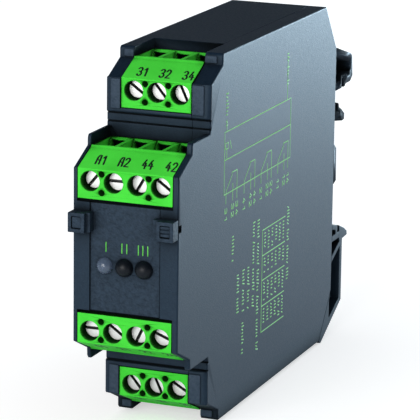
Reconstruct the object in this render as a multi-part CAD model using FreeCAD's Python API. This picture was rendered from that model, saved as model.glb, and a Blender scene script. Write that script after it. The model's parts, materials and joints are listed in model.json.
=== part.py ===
import FreeCAD, Part
import math
import os

# Rail-mounted relay in a slim moulded housing, closed by a side cover, with four stepped screw
# terminal blocks at the front, and a hook and a sprung foot for a 35 mm rail behind.
# Lengths are millimetres. Pieces are laid out with x across the width from its middle, y back
# from the front face and z up from mid-height, and moved to the rail's seat when they are saved.

# Terminal blocks
front_block_poles = 4
rear_block_poles = 3
pitch = 5.0
block_depth = 16.2
block_face = 6.15
block_height = 9.4
slant_run = 6.2
slant_top = 8.9
frame_front = 6.7
frame_wall = 0.75
frame_rim = 0.55
funnel_depth = 2.0
funnel_web = 0.9
bore_height = 3.6
bore_radius = 2.05
test_hole_radius = 0.65
test_hole_inset = 0.95
test_hole_depth = 1.6
front_pole_middle = -0.155
rear_pole_middle = -0.27
tier_rise = 15.4

# Housing
body_depth = 93.6
side_room = 2.5
wall = 1.5
side_wall = 0.85
cover_plate = 1.2
edge_round = 0.35
running_gap = 0.1
seat_gap = 0.2
seam_inset = 3.95
front_block_inset = (0.95, 1.3)
rear_block_inset = (3.3, 4.0)

# Stepped side outline
front_edge_rise = 6.1
front_slope_drop = 2.2
front_slope_y = 6.7
nose_rise = 11.5
nose_inset = 0.5
nose_chamfer = 0.6
step_inset = 0.2
step_back = 0.5
step_lip_drop = 0.8
tier_top_rise = 6.05
ear_run = 6.8
ear_foot_drop = 2.3
ear_chamfer = 0.45
top_cover = 1.9
rear_slope_run = 7.6
rear_slope_drop = 10.4
groove_width = 0.34
groove_depth = 0.45
groove_drops = (1.2, 3.0)
shadow_gap = 0.6
shadow_depth = 1.2
cheek_width = 0.95
cheek_depth = 0.45

# Screws, cages and contact bars of the rising clamps
head_radius = 1.9
head_depth = 1.6
head_recess = 2.3
head_chamfer = 0.25
slot_width = 0.55
slot_depth = 0.8
shank_radius = 1.45
thread_pitch = 0.5
screw_turns = 4
cage_web = 1.1
cage_height = 3.6
cage_side = 0.5
cage_front = 1.2
cage_rear = 0.9
bar_thickness = 1.0
bar_inset = 1.3
bar_tail = 0.8
bar_foot_height = 0.7
board_pin_length = 1.2

# Front panel with its snap lugs and indicators
panel_inset = 3.55
panel_half_height = 11.1
panel_set_back = 0.3
panel_thickness = 1.2
lug_depth = 2.8
lug_width = 3.55
lug_height = 4.0
lug_drop = 1.8
lug_rim = 0.75
lug_hollow = 1.1
lug_side_gap = 0.05
indicator_z = -1.6
indicator_middle = -0.3
indicator_gap = 0.8
dome_gap = 0.4
lens_gap = 0.2
stem_wall = 0.4
blank_stem = 3.7
lamp_depth = 1.0

# Rail seat, hooks and sprung foot
seat_stand = 4.0
rail_z = 2.4
rail_half_width = 17.5
rail_room = 0.5
rail_flange_slot = 1.3
hook_web = 1.6
hook_reach = 7.6
hook_rise = 6.9
hook_rim = 1.6
hook_grip = 1.7
hook_root = 0.5
catch_drop = 6.9
catch_reach = 2.4
stop_reach = 1.6
stop_rise = 3.8
stop_drop = 5.8
foot_side_gap = 0.15
foot_lip = 1.25
foot_lip_neck = 1.25
foot_slot_inset = 3.3
foot_slot_drop = 3.0
foot_plate = 1.2
foot_web = 1.8
foot_rim = 1.7
foot_reach = 7.3
foot_wall_reach = 3.7
foot_tip_drop = 0.8
foot_heel_rise = 6.2
foot_rib_front = 6.4
foot_rib_back = 3.6
foot_plate_drop = 1.4
blade_half = 2.2
guide_gap = 0.3
spring_wire = 0.45
spring_radius = 1.45
spring_turns = 7
spring_seat_gap = 0.05
tower_wall = 1.0

# Circuit boards and the parts on them
board_thickness = 1.6
board_end_gap = 0.3
front_board_gap = 0.5
board_side_gap = 0.4
main_board_stand = 1.1
main_board_rear_gap = 6.6
main_board_corner = 3.6
post_radius = 2.0
post_inset = 4.0
post_edge = 9.0
rectifier_size = 6.5
rectifier_height = 2.6
rectifier_stand = 0.4
leg_size = 0.6
leg_front_inset = 1.0
leg_rear_inset = 1.5
leg_low_inset = 0.3
leg_top_inset = 1.0
can_radius = 4.0
can_length = 12.0
can_edge_gap = 2.5
can_front_gap = 17.0
crimp_inset = 2.0
crimp_stand = 0.35
crimp_radius = 0.6
lead_run = 2.4
lead_spread = 1.3
lead_half = 0.3

# Four-pole relay on the main board: its length runs along y, its poles lie side by side along z
relay_front_gap = 5.0
relay_rear_gap = 3.0
relay_side_gap = 1.5
relay_half_width = 15.5
relay_corner = 0.6
case_wall = 0.7
base_stand = 0.2
base_top = 2.0
coil_gap = 0.6
winding_depth = 1.8
pole_depth = 1.0
bobbin_inset = 3.4
contact_room = 24.0
flange_thickness = 0.9
yoke_low = 2.0
yoke_thickness = 1.4
yoke_half = 5.2
armature_gap = 0.75
armature_thickness = 1.3
tongue_half = 2.0
card_drop = 2.7
card_thickness = 1.0
card_margin = 1.2
relay_poles = 4
pole_spacing = 6.6
leaf_rear_gap = 11.0
leaf_root = 2.6
leaf_drop = 1.2
leaf_thickness = 0.25
leaf_width = 3.4
blade_thickness = 0.5
contact_drop = 5.6
contact_radius = 0.9
contact_depth = 0.4
make_gap = 0.62
break_gap = 0.05

# Places that follow from the sizes above
width = front_block_poles * pitch + side_room
half_width = width / 2
inner_right = half_width - cover_plate
seam_x = half_width - seam_inset
front_block_left = -half_width + front_block_inset[0]
front_block_right = half_width - front_block_inset[1]
rear_block_left = -half_width + rear_block_inset[0]
rear_block_right = half_width - rear_block_inset[1]
front_block_z = panel_half_height + shadow_gap
rear_block_z = front_block_z + tier_rise
half_height = rear_block_z + block_height + top_cover
nose_z = front_block_z + nose_rise
front_slope_rise = nose_rise - front_slope_drop
step_lip_z = rear_block_z - step_lip_drop
tier_top_z = rear_block_z + tier_top_rise
ear_foot_z = half_height - ear_foot_drop
step_y = block_depth - step_inset
ear_y = step_y + ear_run
top_rear_y = body_depth - rear_slope_run
rear_slope_z = half_height - rear_slope_drop
rear_block_back = step_y + block_depth
rear_shell_y = rear_block_back + wall + seat_gap

cage_width = pitch - cage_web
bar_width = cage_width - bar_inset
clamp_travel = screw_turns * thread_pitch
bar_front_y = head_recess + head_depth + clamp_travel + cage_front + 3 * running_gap
cage_front_y = bar_front_y - running_gap - cage_front
cage_rear_y = bar_front_y + bar_thickness + clamp_travel + running_gap
cage_back_y = cage_rear_y + cage_rear

panel_left = -half_width + panel_inset
indicator_spacing = pitch - indicator_gap
indicator_x = [indicator_middle + i * indicator_spacing for i in (-1, 0, 1)]
blank_radius = (indicator_spacing - dome_gap) / 2
lens_radius = blank_radius - lens_gap
stem_radius = lens_radius - stem_wall
lug_top = panel_half_height - lug_drop
lug_bottom = lug_top - lug_height

seat_y = body_depth + seat_stand
slot_back = seat_y + rail_flange_slot
rail_top = rail_z + rail_half_width
rail_low = rail_z - rail_half_width
foot_slot_y = body_depth - foot_slot_inset
foot_slot_top = rail_low + foot_slot_drop
foot_top_z = foot_slot_top - guide_gap
foot_half_width = half_width - foot_side_gap
foot_plate_half = foot_half_width - foot_lip
foot_neck_half = foot_plate_half - foot_lip_neck
foot_tip_z = -half_height - foot_tip_drop
spring_room = spring_radius + spring_wire + seat_gap
spring_y = foot_slot_y - spring_room + running_gap
spring_foot_z = -rear_slope_z
spring_head_z = foot_slot_top - spring_room - tower_wall - seat_gap

front_board_y = rear_shell_y + front_board_gap
front_board_back = front_board_y + board_thickness
main_board_x = -half_width + wall + main_board_stand
main_board_face = main_board_x + board_thickness
main_board_end = body_depth - main_board_rear_gap
board_half_height = half_height - wall - board_end_gap
main_board_half = board_half_height - main_board_corner

relay_start = front_board_back + relay_front_gap
relay_end = main_board_end - relay_rear_gap
relay_length = relay_end - relay_start
relay_height = inner_right - main_board_face - relay_side_gap
card_height = relay_height - card_drop
contact_height = relay_height - contact_drop
coil_low = yoke_low + yoke_thickness + coil_gap
coil_radius = (card_height - coil_low - 1.5 * coil_gap) / 2
coil_axis = coil_low + coil_radius
core_radius = coil_radius - winding_depth
bobbin_length = relay_length - contact_room
bobbin_start = relay_start + bobbin_inset
armature_y = bobbin_start + bobbin_length + pole_depth + armature_gap
leaf_y = relay_end - leaf_rear_gap


def box(x0, x1, y0, y1, z0, z1):
    return Part.makeBox(x1 - x0, y1 - y0, z1 - z0, FreeCAD.Vector(x0, y0, z0))


def prism(outline, x0, x1):
    # A closed outline of (y, z) points carried along x
    points = [FreeCAD.Vector(x0, y, z) for y, z in outline]
    face = Part.Face(Part.makePolygon(points + points[:1]))
    return face.extrude(FreeCAD.Vector(x1 - x0, 0, 0))


def rod(x, z, radius, y0, y1):
    return Part.makeCylinder(radius, y1 - y0, FreeCAD.Vector(x, y0, z), FreeCAD.Vector(0, 1, 0))


def turned(x, z, outline):
    # An outline of (radius, y) points turned about an axis along y
    points = [FreeCAD.Vector(x + r, y, z) for r, y in outline]
    face = Part.Face(Part.makePolygon(points + points[:1]))
    return face.revolve(FreeCAD.Vector(x, 0, z), FreeCAD.Vector(0, 1, 0), 360)


def joined(shapes):
    result = shapes[0]
    for shape in shapes[1:]:
        result = result.fuse(shape)
    return result.removeSplitter()


def mirrored(shape):
    return shape.mirror(FreeCAD.Vector(0, 0, 0), FreeCAD.Vector(0, 0, 1))


def both(shape):
    return [shape, mirrored(shape)]


def full_outline(upper):
    lower = [(y, -z) for y, z in reversed(upper)]
    return upper + lower


# Housing outlines

def outer_outline():
    return full_outline([
        (0, front_block_z + front_edge_rise),
        (front_slope_y, front_block_z + front_slope_rise),
        (front_slope_y + running_gap, nose_z - nose_chamfer),
        (front_slope_y + nose_inset, nose_z),
        (step_y + step_back, nose_z),
        (step_y + step_back, step_lip_z - step_back),
        (step_y, step_lip_z),
        (step_y, tier_top_z),
        (step_y + 2 * ear_chamfer, tier_top_z + running_gap),
        (ear_y, ear_foot_z),
        (ear_y, half_height - ear_chamfer),
        (ear_y + ear_chamfer, half_height),
        (top_rear_y, half_height),
        (body_depth, rear_slope_z),
    ])


def inner_outline():
    # The room inside: a front chamber, the space behind the front blocks, and the main room
    shelf = front_block_z - running_gap - wall
    rear_shelf = rear_block_z - running_gap - wall
    behind_front = block_depth + 3 * running_gap + wall
    top = half_height - wall
    rear = body_depth - wall
    front = panel_set_back + panel_thickness
    corner = top_rear_y - wall
    low_rear = foot_slot_y - wall
    floor = foot_slot_top + 2 * wall
    slope = rear_slope_z + wall
    upper = [(front, shelf), (behind_front, shelf), (behind_front, rear_shelf), (rear_shell_y, rear_shelf),
             (rear_shell_y, top), (corner, top), (rear, rear_slope_z - wall / 2)]
    rear_room = [(rear, floor), (low_rear, floor)]
    lower = [(low_rear, -slope), (corner, -top), (rear_shell_y, -top), (rear_shell_y, -rear_shelf),
             (behind_front, -rear_shelf), (behind_front, -shelf), (front, -shelf)]
    return upper + rear_room + lower


def block_pockets():
    # Open seats of the four blocks, the room for their wires and the openings for their bars
    left = -half_width + side_wall
    front = box(left, inner_right, -5, step_y + step_back, front_block_z - running_gap, nose_z + 0.5)
    shadow = box(left, inner_right, -5, shadow_depth, front_block_z - shadow_gap, front_block_z)
    rear_left, rear_right = rear_block_left - running_gap, rear_block_right + running_gap
    rear = box(rear_left, rear_right, step_y - 5, rear_block_back + seat_gap,
               rear_block_z - running_gap, half_height + 5)
    wires = box(rear_left, rear_right, ear_y, rear_shell_y - wall / 4, ear_foot_z + wall / 4, half_height + 5)
    cutters = both(front) + both(shadow) + both(rear) + both(wires)
    for x in pole_places(front_block_poles, front_pole_middle):
        cutters += both(tail_slot(x, front_block_z, block_depth - 1, block_depth + 2 * wall + 1))
    for x in pole_places(rear_block_poles, rear_pole_middle):
        cutters += both(tail_slot(x, rear_block_z, rear_block_back - 1, rear_block_back + 2 * wall + 1))
    return cutters


def tail_slot(x, base_z, y0, y1):
    half = bar_width / 2 + running_gap
    foot = base_z + bar_foot_height
    return box(x - half, x + half, y0, y1, foot - running_gap, foot + bar_tail + running_gap)


def tier_grooves():
    # Two fine grooves across the front of the rear tier, below its block
    cutters = []
    half = groove_width / 2
    for drop in groove_drops:
        z = rear_block_z - drop
        groove = box(-half_width - 1, half_width + 1, step_y - 1, step_y + step_back + groove_depth,
                     z - half, z + half)
        cutters += both(groove)
    return cutters


def cheek_bevels():
    # Slanted outer strips on the front of the rear tier, beside its block
    cutters = []
    for side in (-1, 1):
        outline = [(half_width - cheek_width, step_y), (half_width, step_y + cheek_depth),
                   (half_width + 1, step_y + cheek_depth), (half_width + 1, step_y - 1),
                   (half_width - cheek_width, step_y - 1)]
        points = [FreeCAD.Vector(side * x, y, nose_z) for x, y in outline]
        face = Part.Face(Part.makePolygon(points + points[:1]))
        cutters += both(face.extrude(FreeCAD.Vector(0, 0, tier_top_z + ear_chamfer - nose_z)))
    return cutters


def foot_channel():
    # Undercut channel in the rear wall: the foot's plate runs in it behind two lips
    plate = foot_plate_half + seat_gap
    neck = foot_neck_half + guide_gap
    low = -half_height - 1
    slot = box(-plate, plate, foot_slot_y, foot_slot_y + foot_plate + 2 * guide_gap, low, foot_slot_top)
    mouth = box(-neck, neck, foot_slot_y, body_depth + 1, low, foot_slot_top)
    return [slot, mouth]


def panel_opening():
    return box(panel_left, seam_x + 1, -1, panel_set_back + panel_thickness + running_gap,
               -panel_half_height, panel_half_height)


def rounded_body(x0, x1, outer_x):
    # The outline carried across the width, its outer side edges rounded
    body = prism(outer_outline(), x0, x1)
    edges = [e for e in body.Edges if all(abs(v.X - outer_x) < 1e-6 for v in e.Vertexes)]
    return body.makeFillet(edge_round, edges)


def hook(outline, recess):
    # A ribbed hook across the whole width: a rim round a middle web
    shape = prism(outline, -half_width, half_width)
    for side in (-1, 1):
        x0, x1 = sorted((side * hook_web / 2, side * (half_width + 1)))
        shape = shape.cut(prism(recess, x0, x1))
    return shape


def upper_hook():
    # Its outline is given from the rail's upper edge; a slot from below takes the rail's flange
    root = body_depth - hook_root
    top = rail_top + hook_rise
    tip = seat_y + hook_reach
    foot = rail_top - hook_grip
    slot_top = rail_top + rail_room
    rib = seat_y - rail_room
    outline = [
        (root, top + hook_rise / 5), (seat_y + hook_rim, top - hook_rim / 4), (tip - hook_rim, top - hook_rim),
        (tip - hook_rim / 3, top - 1.5 * hook_rim), (tip, foot + hook_rim), (tip - hook_rim, foot + hook_rim / 3),
        (slot_back + hook_rim, foot + hook_rim / 3), (slot_back + hook_rim / 2, foot), (slot_back, foot),
        (slot_back, slot_top), (seat_y, slot_top), (seat_y, foot), (root, foot),
    ]
    recess = [
        (body_depth, top - hook_rim / 2), (tip - 2 * hook_rim, top - 2 * hook_rim),
        (tip - 1.5 * hook_rim, top - 2.5 * hook_rim), (tip - 1.5 * hook_rim, slot_top + hook_rim / 2),
        (rib, slot_top + hook_rim / 2), (rib, foot + hook_rim), (body_depth, foot + hook_rim),
    ]
    return hook(outline, recess)


def middle_hook():
    # The small catch for the lip of a deeper rail, and the flat stop that the rail's back rests on
    root = body_depth - hook_root
    high = rail_top - catch_drop
    tip = seat_y + catch_reach
    outline = [
        (root, high), (body_depth + stop_reach, high), (body_depth + stop_reach, high + 2.2),
        (body_depth + stop_reach + 0.6, high + 1.9), (seat_y - 1.3, high + 0.9), (seat_y, high + 0.4),
        (tip, high - 1.1), (tip - 0.1, high - 2.4), (seat_y + 0.8, high - 2.5), (root, high - 1.6),
    ]
    stop = [(root, rail_z + stop_rise), (body_depth + stop_reach - 0.3, rail_z + stop_rise - 1.4),
            (body_depth + stop_reach, rail_z - stop_drop + 0.7), (root, rail_z - stop_drop)]
    return prism(outline, -half_width, half_width).fuse(prism(stop, -half_width, half_width))


def spring_tower():
    # Walls round the foot's spring, and the ledge that the spring stands on
    half = spring_room + tower_wall
    return box(-half, half, spring_y - half, foot_slot_y + 0.01, spring_foot_z - 1.2, foot_slot_top + wall)


def spring_bore():
    return box(-spring_room, spring_room, spring_y - spring_room, foot_slot_y + 0.1, spring_foot_z, foot_slot_top)


def board_posts():
    # Four posts on the left wall that carry the main board
    posts = []
    start = -half_width + wall - 0.2
    for y in (front_board_back + post_inset, main_board_end - post_inset):
        for z in (post_edge - main_board_half, main_board_half - post_edge):
            post = Part.makeCylinder(post_radius, main_board_x - start, FreeCAD.Vector(start, y, z),
                                     FreeCAD.Vector(1, 0, 0))
            posts.append(post)
    return posts


def housing():
    shell = rounded_body(-half_width, seam_x, -half_width)
    room = prism(inner_outline(), -half_width + wall, seam_x + 1)
    shell = shell.cut([room, panel_opening()] + block_pockets() + tier_grooves() + cheek_bevels())
    shell = shell.fuse([upper_hook(), middle_hook(), spring_tower()] + board_posts())
    shell = shell.cut(foot_channel() + [spring_bore()])
    shell = shell.cut(cover_space())
    return shell.removeSplitter()


def cover_space():
    # Everything right of the seam, up to the rear face, belongs to the cover
    return box(seam_x, half_width + 1, -5, body_depth, -half_height - 1, half_height + 1)


def side_cover():
    body = rounded_body(seam_x, half_width, half_width)
    room = prism(inner_outline(), seam_x - 1, inner_right)
    middle = (lug_top + lug_bottom) / 2
    notch = box(inner_right - guide_gap, half_width + 1, -1, panel_set_back + panel_thickness,
                middle - lug_rim, middle + lug_rim)
    panel_room = box(seam_x - 1, seam_x + running_gap, -1, panel_set_back + panel_thickness + running_gap,
                     -panel_half_height, panel_half_height)
    cover = body.cut([room, notch, panel_room] + block_pockets() + tier_grooves() + cheek_bevels())
    return cover.cut(foot_channel()).removeSplitter()


def pole_places(poles, middle):
    return [middle + (i - (poles - 1) / 2) * pitch for i in range(poles)]


def block_outline(y0, base_z):
    return [
        (y0, base_z),
        (y0, base_z + block_face),
        (y0 + slant_run, base_z + slant_top),
        (y0 + frame_front, base_z + block_height),
        (y0 + block_depth, base_z + block_height),
        (y0 + block_depth, base_z),
    ]


def funnel(x, y0, base_z):
    # Tapered wire entry from the top frame to the clamp, open behind below the frame's rear rim
    top_z = base_z + block_height
    neck_z = top_z - funnel_depth
    half_top = (pitch - funnel_web) / 2
    half_neck = cage_width / 2 - cage_side
    y_top = (y0 + frame_front + frame_wall, y0 + block_depth - frame_wall)
    y_neck = (y0 + bar_front_y + seat_gap, y0 + cage_back_y)

    def ring(half, y_pair, z):
        corners = [(x - half, y_pair[0]), (x + half, y_pair[0]), (x + half, y_pair[1]), (x - half, y_pair[1])]
        points = [FreeCAD.Vector(a, b, z) for a, b in corners]
        return Part.makePolygon(points + points[:1])

    mouth = Part.makeLoft([ring(half_neck, y_neck, neck_z), ring(half_top, y_top, top_z + 0.01)], True, True)
    throat = box(x - half_neck, x + half_neck, y_neck[0], y0 + block_depth + 1,
                 base_z + bore_height, top_z - frame_rim)
    return mouth.fuse(throat)


def pole_room(x, y0, base_z):
    # Bore for the screw, pocket for the cage, and channel for the bar's tail
    axis_z = base_z + bore_height
    half = cage_width / 2 + running_gap
    half_bar = bar_width / 2 + running_gap
    tall = cage_height / 2 + running_gap
    head_back = y0 + head_recess + head_depth + running_gap / 2
    bore = rod(x, axis_z, bore_radius, y0 - 1, head_back)
    pocket = box(x - half, x + half, head_back, y0 + block_depth + 1, axis_z - tall, axis_z + tall)
    foot = base_z + bar_foot_height - running_gap
    channel = box(x - half_bar, x + half_bar, y0 + bar_front_y - running_gap, y0 + block_depth + 1,
                  foot, axis_z)
    return bore.fuse([pocket, channel, funnel(x, y0, base_z)])


def test_holes(places, y0, base_z):
    holes = []
    for x in places:
        for h in (test_hole_inset, block_face - 1.5 * test_hole_inset):
            z = base_z + block_face - h
            holes.append(rod(x, z, test_hole_radius, y0 - 1, y0 + test_hole_depth))
    return holes


def terminal_block(left, right, places, holes, y0, base_z):
    body = prism(block_outline(y0, base_z), left, right)
    cutters = [pole_room(x, y0, base_z) for x in places]
    return body.cut(cutters + test_holes(holes, y0, base_z)).removeSplitter()


def terminal_screw(x, z, y0, slot_angle):
    head_y = y0 + head_recess
    tip_y = y0 + bar_front_y - running_gap
    rim = head_radius - head_chamfer
    head = turned(x, z, [(0, head_y), (rim, head_y), (head_radius, head_y + head_chamfer),
                         (head_radius, head_y + head_depth), (0, head_y + head_depth)])
    shank = rod(x, z, shank_radius, head_y + head_depth - 0.05, tip_y)
    slot = box(-head_radius - 1, head_radius + 1, head_y - 1, head_y + slot_depth,
               -slot_width / 2, slot_width / 2)
    slot.rotate(FreeCAD.Vector(0, 0, 0), FreeCAD.Vector(0, 1, 0), -slot_angle)
    slot.translate(FreeCAD.Vector(x, 0, z))
    return head.fuse(shank).cut(slot).removeSplitter()


def clamp_cage(x, z, y0):
    half = cage_width / 2
    tall = cage_height / 2
    body = box(x - half, x + half, y0 + cage_front_y, y0 + cage_back_y, z - tall, z + tall)
    room = box(x - half + cage_side, x + half - cage_side, y0 + cage_front_y + cage_front,
               y0 + cage_rear_y, z - tall - 1, z + tall + 1)
    thread = rod(x, z, shank_radius + running_gap / 2, y0, y0 + bar_front_y)
    return body.cut([room, thread])


def contact_bar(x, base_z, y0):
    # An upright tongue inside the cage, with a tail that runs back through the front board
    half = bar_width / 2
    foot = base_z + bar_foot_height
    tongue = box(x - half, x + half, y0 + bar_front_y, y0 + bar_front_y + bar_thickness,
                 foot, base_z + bore_height + cage_height / 2)
    shoulder = front_board_y - front_board_gap
    tail = box(x - half, x + half, y0 + bar_front_y, shoulder, foot, foot + bar_tail)
    pin = box(x - half / 2, x + half / 2, shoulder - running_gap, front_board_back + board_pin_length,
              foot, foot + bar_tail)
    return joined([tongue, tail, pin])


# Front panel and indicators

def front_panel():
    # A plate between the blocks, with a hollow snap lug at each side
    top = panel_half_height - running_gap
    right = seam_x - running_gap / 2
    left = panel_left + running_gap / 2
    shapes = [box(left, right, panel_set_back, panel_set_back + panel_thickness, -top, top)]
    for side, edge in ((-1, left), (1, right)):
        outer = side * (half_width - lug_side_gap)
        inner = outer - side * lug_width
        x0, x1 = sorted((outer, inner))
        root0, root1 = sorted((edge, edge - side * lug_rim))
        arm0, arm1 = sorted((inner + side * lug_rim, edge - side * lug_rim))
        floor = -lug_depth + lug_hollow
        lug = box(x0, x1, -lug_depth, -running_gap, lug_bottom, lug_top)
        neck = box(root0, root1, floor, panel_set_back + running_gap, lug_bottom, lug_top)
        arm = box(arm0, arm1, floor, -running_gap, lug_bottom, lug_top)
        hollow = box(x0 + lug_rim, x1 - lug_rim, -lug_depth - 1, floor,
                     lug_bottom + lug_rim, lug_top - lug_rim)
        shapes += [lug.cut(hollow), neck, arm]
    panel = joined(shapes)
    hole = stem_radius + running_gap / 2
    return panel.cut([rod(x, indicator_z, hole, -1, panel_set_back + panel_thickness + 1) for x in indicator_x])


def dome(x, radius, stem_end):
    # A spherical cap on the panel, with a round stem behind it
    face = panel_set_back
    height = radius - lens_gap
    ball_radius = (radius ** 2 + height ** 2) / (2 * height)
    centre_y = face - height + ball_radius
    ball = Part.makeSphere(ball_radius, FreeCAD.Vector(x, centre_y, indicator_z))
    keep = rod(x, indicator_z, radius + 1, face - height - 1, face)
    stem = rod(x, indicator_z, stem_radius, face - 0.1, stem_end)
    return joined([ball.common(keep), stem])


def light_guide():
    return dome(indicator_x[0], lens_radius, front_board_y - lamp_depth - running_gap)


def blank_dome(x):
    return dome(x, blank_radius, panel_set_back + blank_stem)


def indicator_lamp():
    x = indicator_x[0]
    half = stem_radius + guide_gap
    return box(x - half, x + half, front_board_y - lamp_depth, front_board_y,
               indicator_z - half / 2, indicator_z + half / 2)


# Circuit boards and small parts

def front_board():
    left = -half_width + wall + board_side_gap
    right = inner_right - board_side_gap
    plate = box(left, right, front_board_y, front_board_back, -board_half_height, board_half_height)
    holes = []
    half = bar_width / 4 + running_gap
    for poles, middle, base_z in ((front_block_poles, front_pole_middle, front_block_z),
                                  (rear_block_poles, rear_pole_middle, rear_block_z)):
        foot = base_z + bar_foot_height
        for x in pole_places(poles, middle):
            holes += both(box(x - half, x + half, front_board_y - 1, front_board_back + 1,
                              foot - running_gap, foot + bar_tail + running_gap))
    return plate.cut(holes)


def main_board():
    # Stands on the four posts, cut back round the foot's tower and the ends of the outer bars
    top = main_board_half
    x0, x1 = main_board_x - 1, main_board_face + 1
    plate = box(main_board_x, main_board_face, front_board_back, main_board_end, -top, top)
    tower_front = spring_y - spring_room - tower_wall
    cutters = [box(x0, x1, tower_front - wall, main_board_end + 1, -top - 1, foot_slot_top + 4 * wall)]
    for base_z in (front_block_z, rear_block_z):
        foot = base_z + bar_foot_height
        notch = box(x0, x1, front_board_back - 1, front_board_back + board_pin_length + guide_gap,
                    foot - guide_gap, foot + bar_tail + guide_gap)
        cutters += both(notch)
    return plate.cut(cutters)


def rectifier():
    # A square bridge rectifier on four short legs, above the relay
    x0 = main_board_face
    top = main_board_half - guide_gap
    low = top - rectifier_size
    front = relay_start + relay_front_gap
    body = box(x0 + rectifier_stand, x0 + rectifier_stand + rectifier_height,
               front, front + rectifier_size, low, top)
    legs = []
    for y in (front + leg_front_inset, front + rectifier_size - leg_rear_inset):
        for z in (low + leg_low_inset, top - leg_top_inset):
            legs.append(box(x0, x0 + rectifier_stand + 0.1, y, y + leg_size, z, z + leg_size))
    return joined([body] + legs)


def smoothing_capacitor():
    # An electrolytic can that lies on the board, with its two leads bent down to it
    x = main_board_face + can_radius
    z = main_board_half - can_radius - can_edge_gap
    start = relay_start + can_front_gap
    along = FreeCAD.Vector(0, 1, 0)
    can = Part.makeCylinder(can_radius, can_length, FreeCAD.Vector(x, start, z), along)
    crimp_middle = FreeCAD.Vector(x, start + crimp_inset, z)
    crimp = Part.makeTorus(can_radius + crimp_stand, crimp_radius, crimp_middle, along)
    leads = []
    bend = start - lead_run
    for lead_z in (z - lead_spread, z + lead_spread):
        low, high = lead_z - lead_half, lead_z + lead_half
        leads.append(box(x - lead_half, x + lead_half, bend, start + 0.1, low, high))
        leads.append(box(main_board_face, x + lead_half, bend, bend + 2 * lead_half, low, high))
    return joined([can.cut(crimp)] + leads)


# Relay mechanism: heights are measured up from the main board, along x

def above(height):
    return main_board_face + height


def raised(h0, h1, y0, y1, z0, z1):
    return box(above(h0), above(h1), y0, y1, z0, z1)


def pole_rows():
    return [(i - (relay_poles - 1) / 2) * pole_spacing for i in range(relay_poles)]


def relay_case():
    outer = raised(base_stand, relay_height, relay_start, relay_end, -relay_half_width, relay_half_width)
    upright = [e for e in outer.Edges if e.BoundBox.XLength > 1]
    outer = outer.makeFillet(relay_corner, upright)
    inner = raised(-1, relay_height - case_wall, relay_start + case_wall, relay_end - case_wall,
                   -relay_half_width + case_wall, relay_half_width - case_wall)
    return outer.cut(inner)


def relay_base():
    # Moulded plate inside the case's open side, slotted for the contact blades
    room = case_wall + running_gap
    base = raised(0, base_top, relay_start + room, relay_end - room,
                  -relay_half_width + room, relay_half_width - room)
    gap = running_gap / 2
    half = leaf_width / 2 + gap
    slots = []
    for z in pole_rows():
        for y, thickness in blade_places():
            slots.append(raised(-1, base_top + 1, y - gap, y + thickness + gap, z - half, z + half))
    return base.cut(slots)


def blade_places():
    # Front edges and thicknesses of one pole's make blade, leaf root and break blade
    button = contact_depth + leaf_thickness / 2
    make = leaf_y - button - make_gap - contact_depth - blade_thickness
    rest = leaf_y + button + break_gap + contact_depth
    return [(make, blade_thickness), (leaf_y - blade_thickness / 2, blade_thickness), (rest, blade_thickness)]


def contact_button(y, z, depth):
    return rod(above(contact_height), z, contact_radius, y, y + depth)


def fixed_contacts():
    # For each pole a make blade and a break blade with their buttons, and the leaf's root blade
    blades = []
    half = leaf_width / 2
    for z in pole_rows():
        (make, t), (root, _), (rest, _) = blade_places()
        front = raised(0, contact_height + 1.4, make, make + t, z - half, z + half)
        back = raised(0, contact_height + 1.4, rest, rest + t, z - half, z + half)
        blades.append(joined([front, contact_button(make + t - 0.05, z, contact_depth + 0.05)]))
        blades.append(joined([back, contact_button(rest - contact_depth, z, contact_depth + 0.05)]))
        blades.append(raised(0, leaf_root - running_gap, root, root + t, z - half, z + half))
    return Part.makeCompound(blades)


def contact_leaves():
    leaves = []
    half = leaf_width / 2
    for z in pole_rows():
        y0, y1 = leaf_y - leaf_thickness / 2, leaf_y + leaf_thickness / 2
        leaf = raised(leaf_root, relay_height - leaf_drop, y0, y1, z - half, z + half)
        front = contact_button(y0 - contact_depth, z, contact_depth + 0.05)
        back = contact_button(y1 - 0.05, z, contact_depth + 0.05)
        leaves.append(joined([leaf, front, back]))
    return Part.makeCompound(leaves)


def coil_bobbin():
    y1 = bobbin_start + bobbin_length
    x = above(coil_axis)
    tube = rod(x, 0, core_radius + 0.6, bobbin_start, y1)
    top = coil_axis + coil_radius + coil_gap / 2
    flanges = [raised(yoke_low + yoke_thickness, top, y, y + flange_thickness, -yoke_half, yoke_half)
               for y in (bobbin_start, y1 - flange_thickness)]
    return joined([tube] + flanges).cut(rod(x, 0, core_radius + 0.05, bobbin_start - 2, y1 + 2))


def coil_winding():
    y0 = bobbin_start + flange_thickness + 0.05
    y1 = bobbin_start + bobbin_length - flange_thickness - 0.05
    outer = rod(above(coil_axis), 0, coil_radius, y0, y1)
    return outer.cut(rod(above(coil_axis), 0, core_radius + 0.65, y0 - 1, y1 + 1))


def coil_core():
    # Round core with a wider pole face towards the armature
    pole_y = bobbin_start + bobbin_length
    body = rod(above(coil_axis), 0, core_radius, bobbin_start - yoke_thickness, pole_y + 0.2)
    face = rod(above(coil_axis), 0, core_radius + 1.2, pole_y + 0.1, pole_y + pole_depth)
    return joined([body, face])


def yoke():
    # An angle of flat iron: upright behind the coil, then under it to the armature's edge
    y0 = bobbin_start - yoke_thickness
    back = raised(yoke_low, coil_axis + coil_radius, y0, bobbin_start, -yoke_half, yoke_half)
    leg = raised(yoke_low, yoke_low + yoke_thickness, y0, armature_y - running_gap, -yoke_half, yoke_half)
    hole = rod(above(coil_axis), 0, core_radius + 0.05, y0 - 1, bobbin_start + 1)
    return joined([back, leg]).cut(hole)


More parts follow.
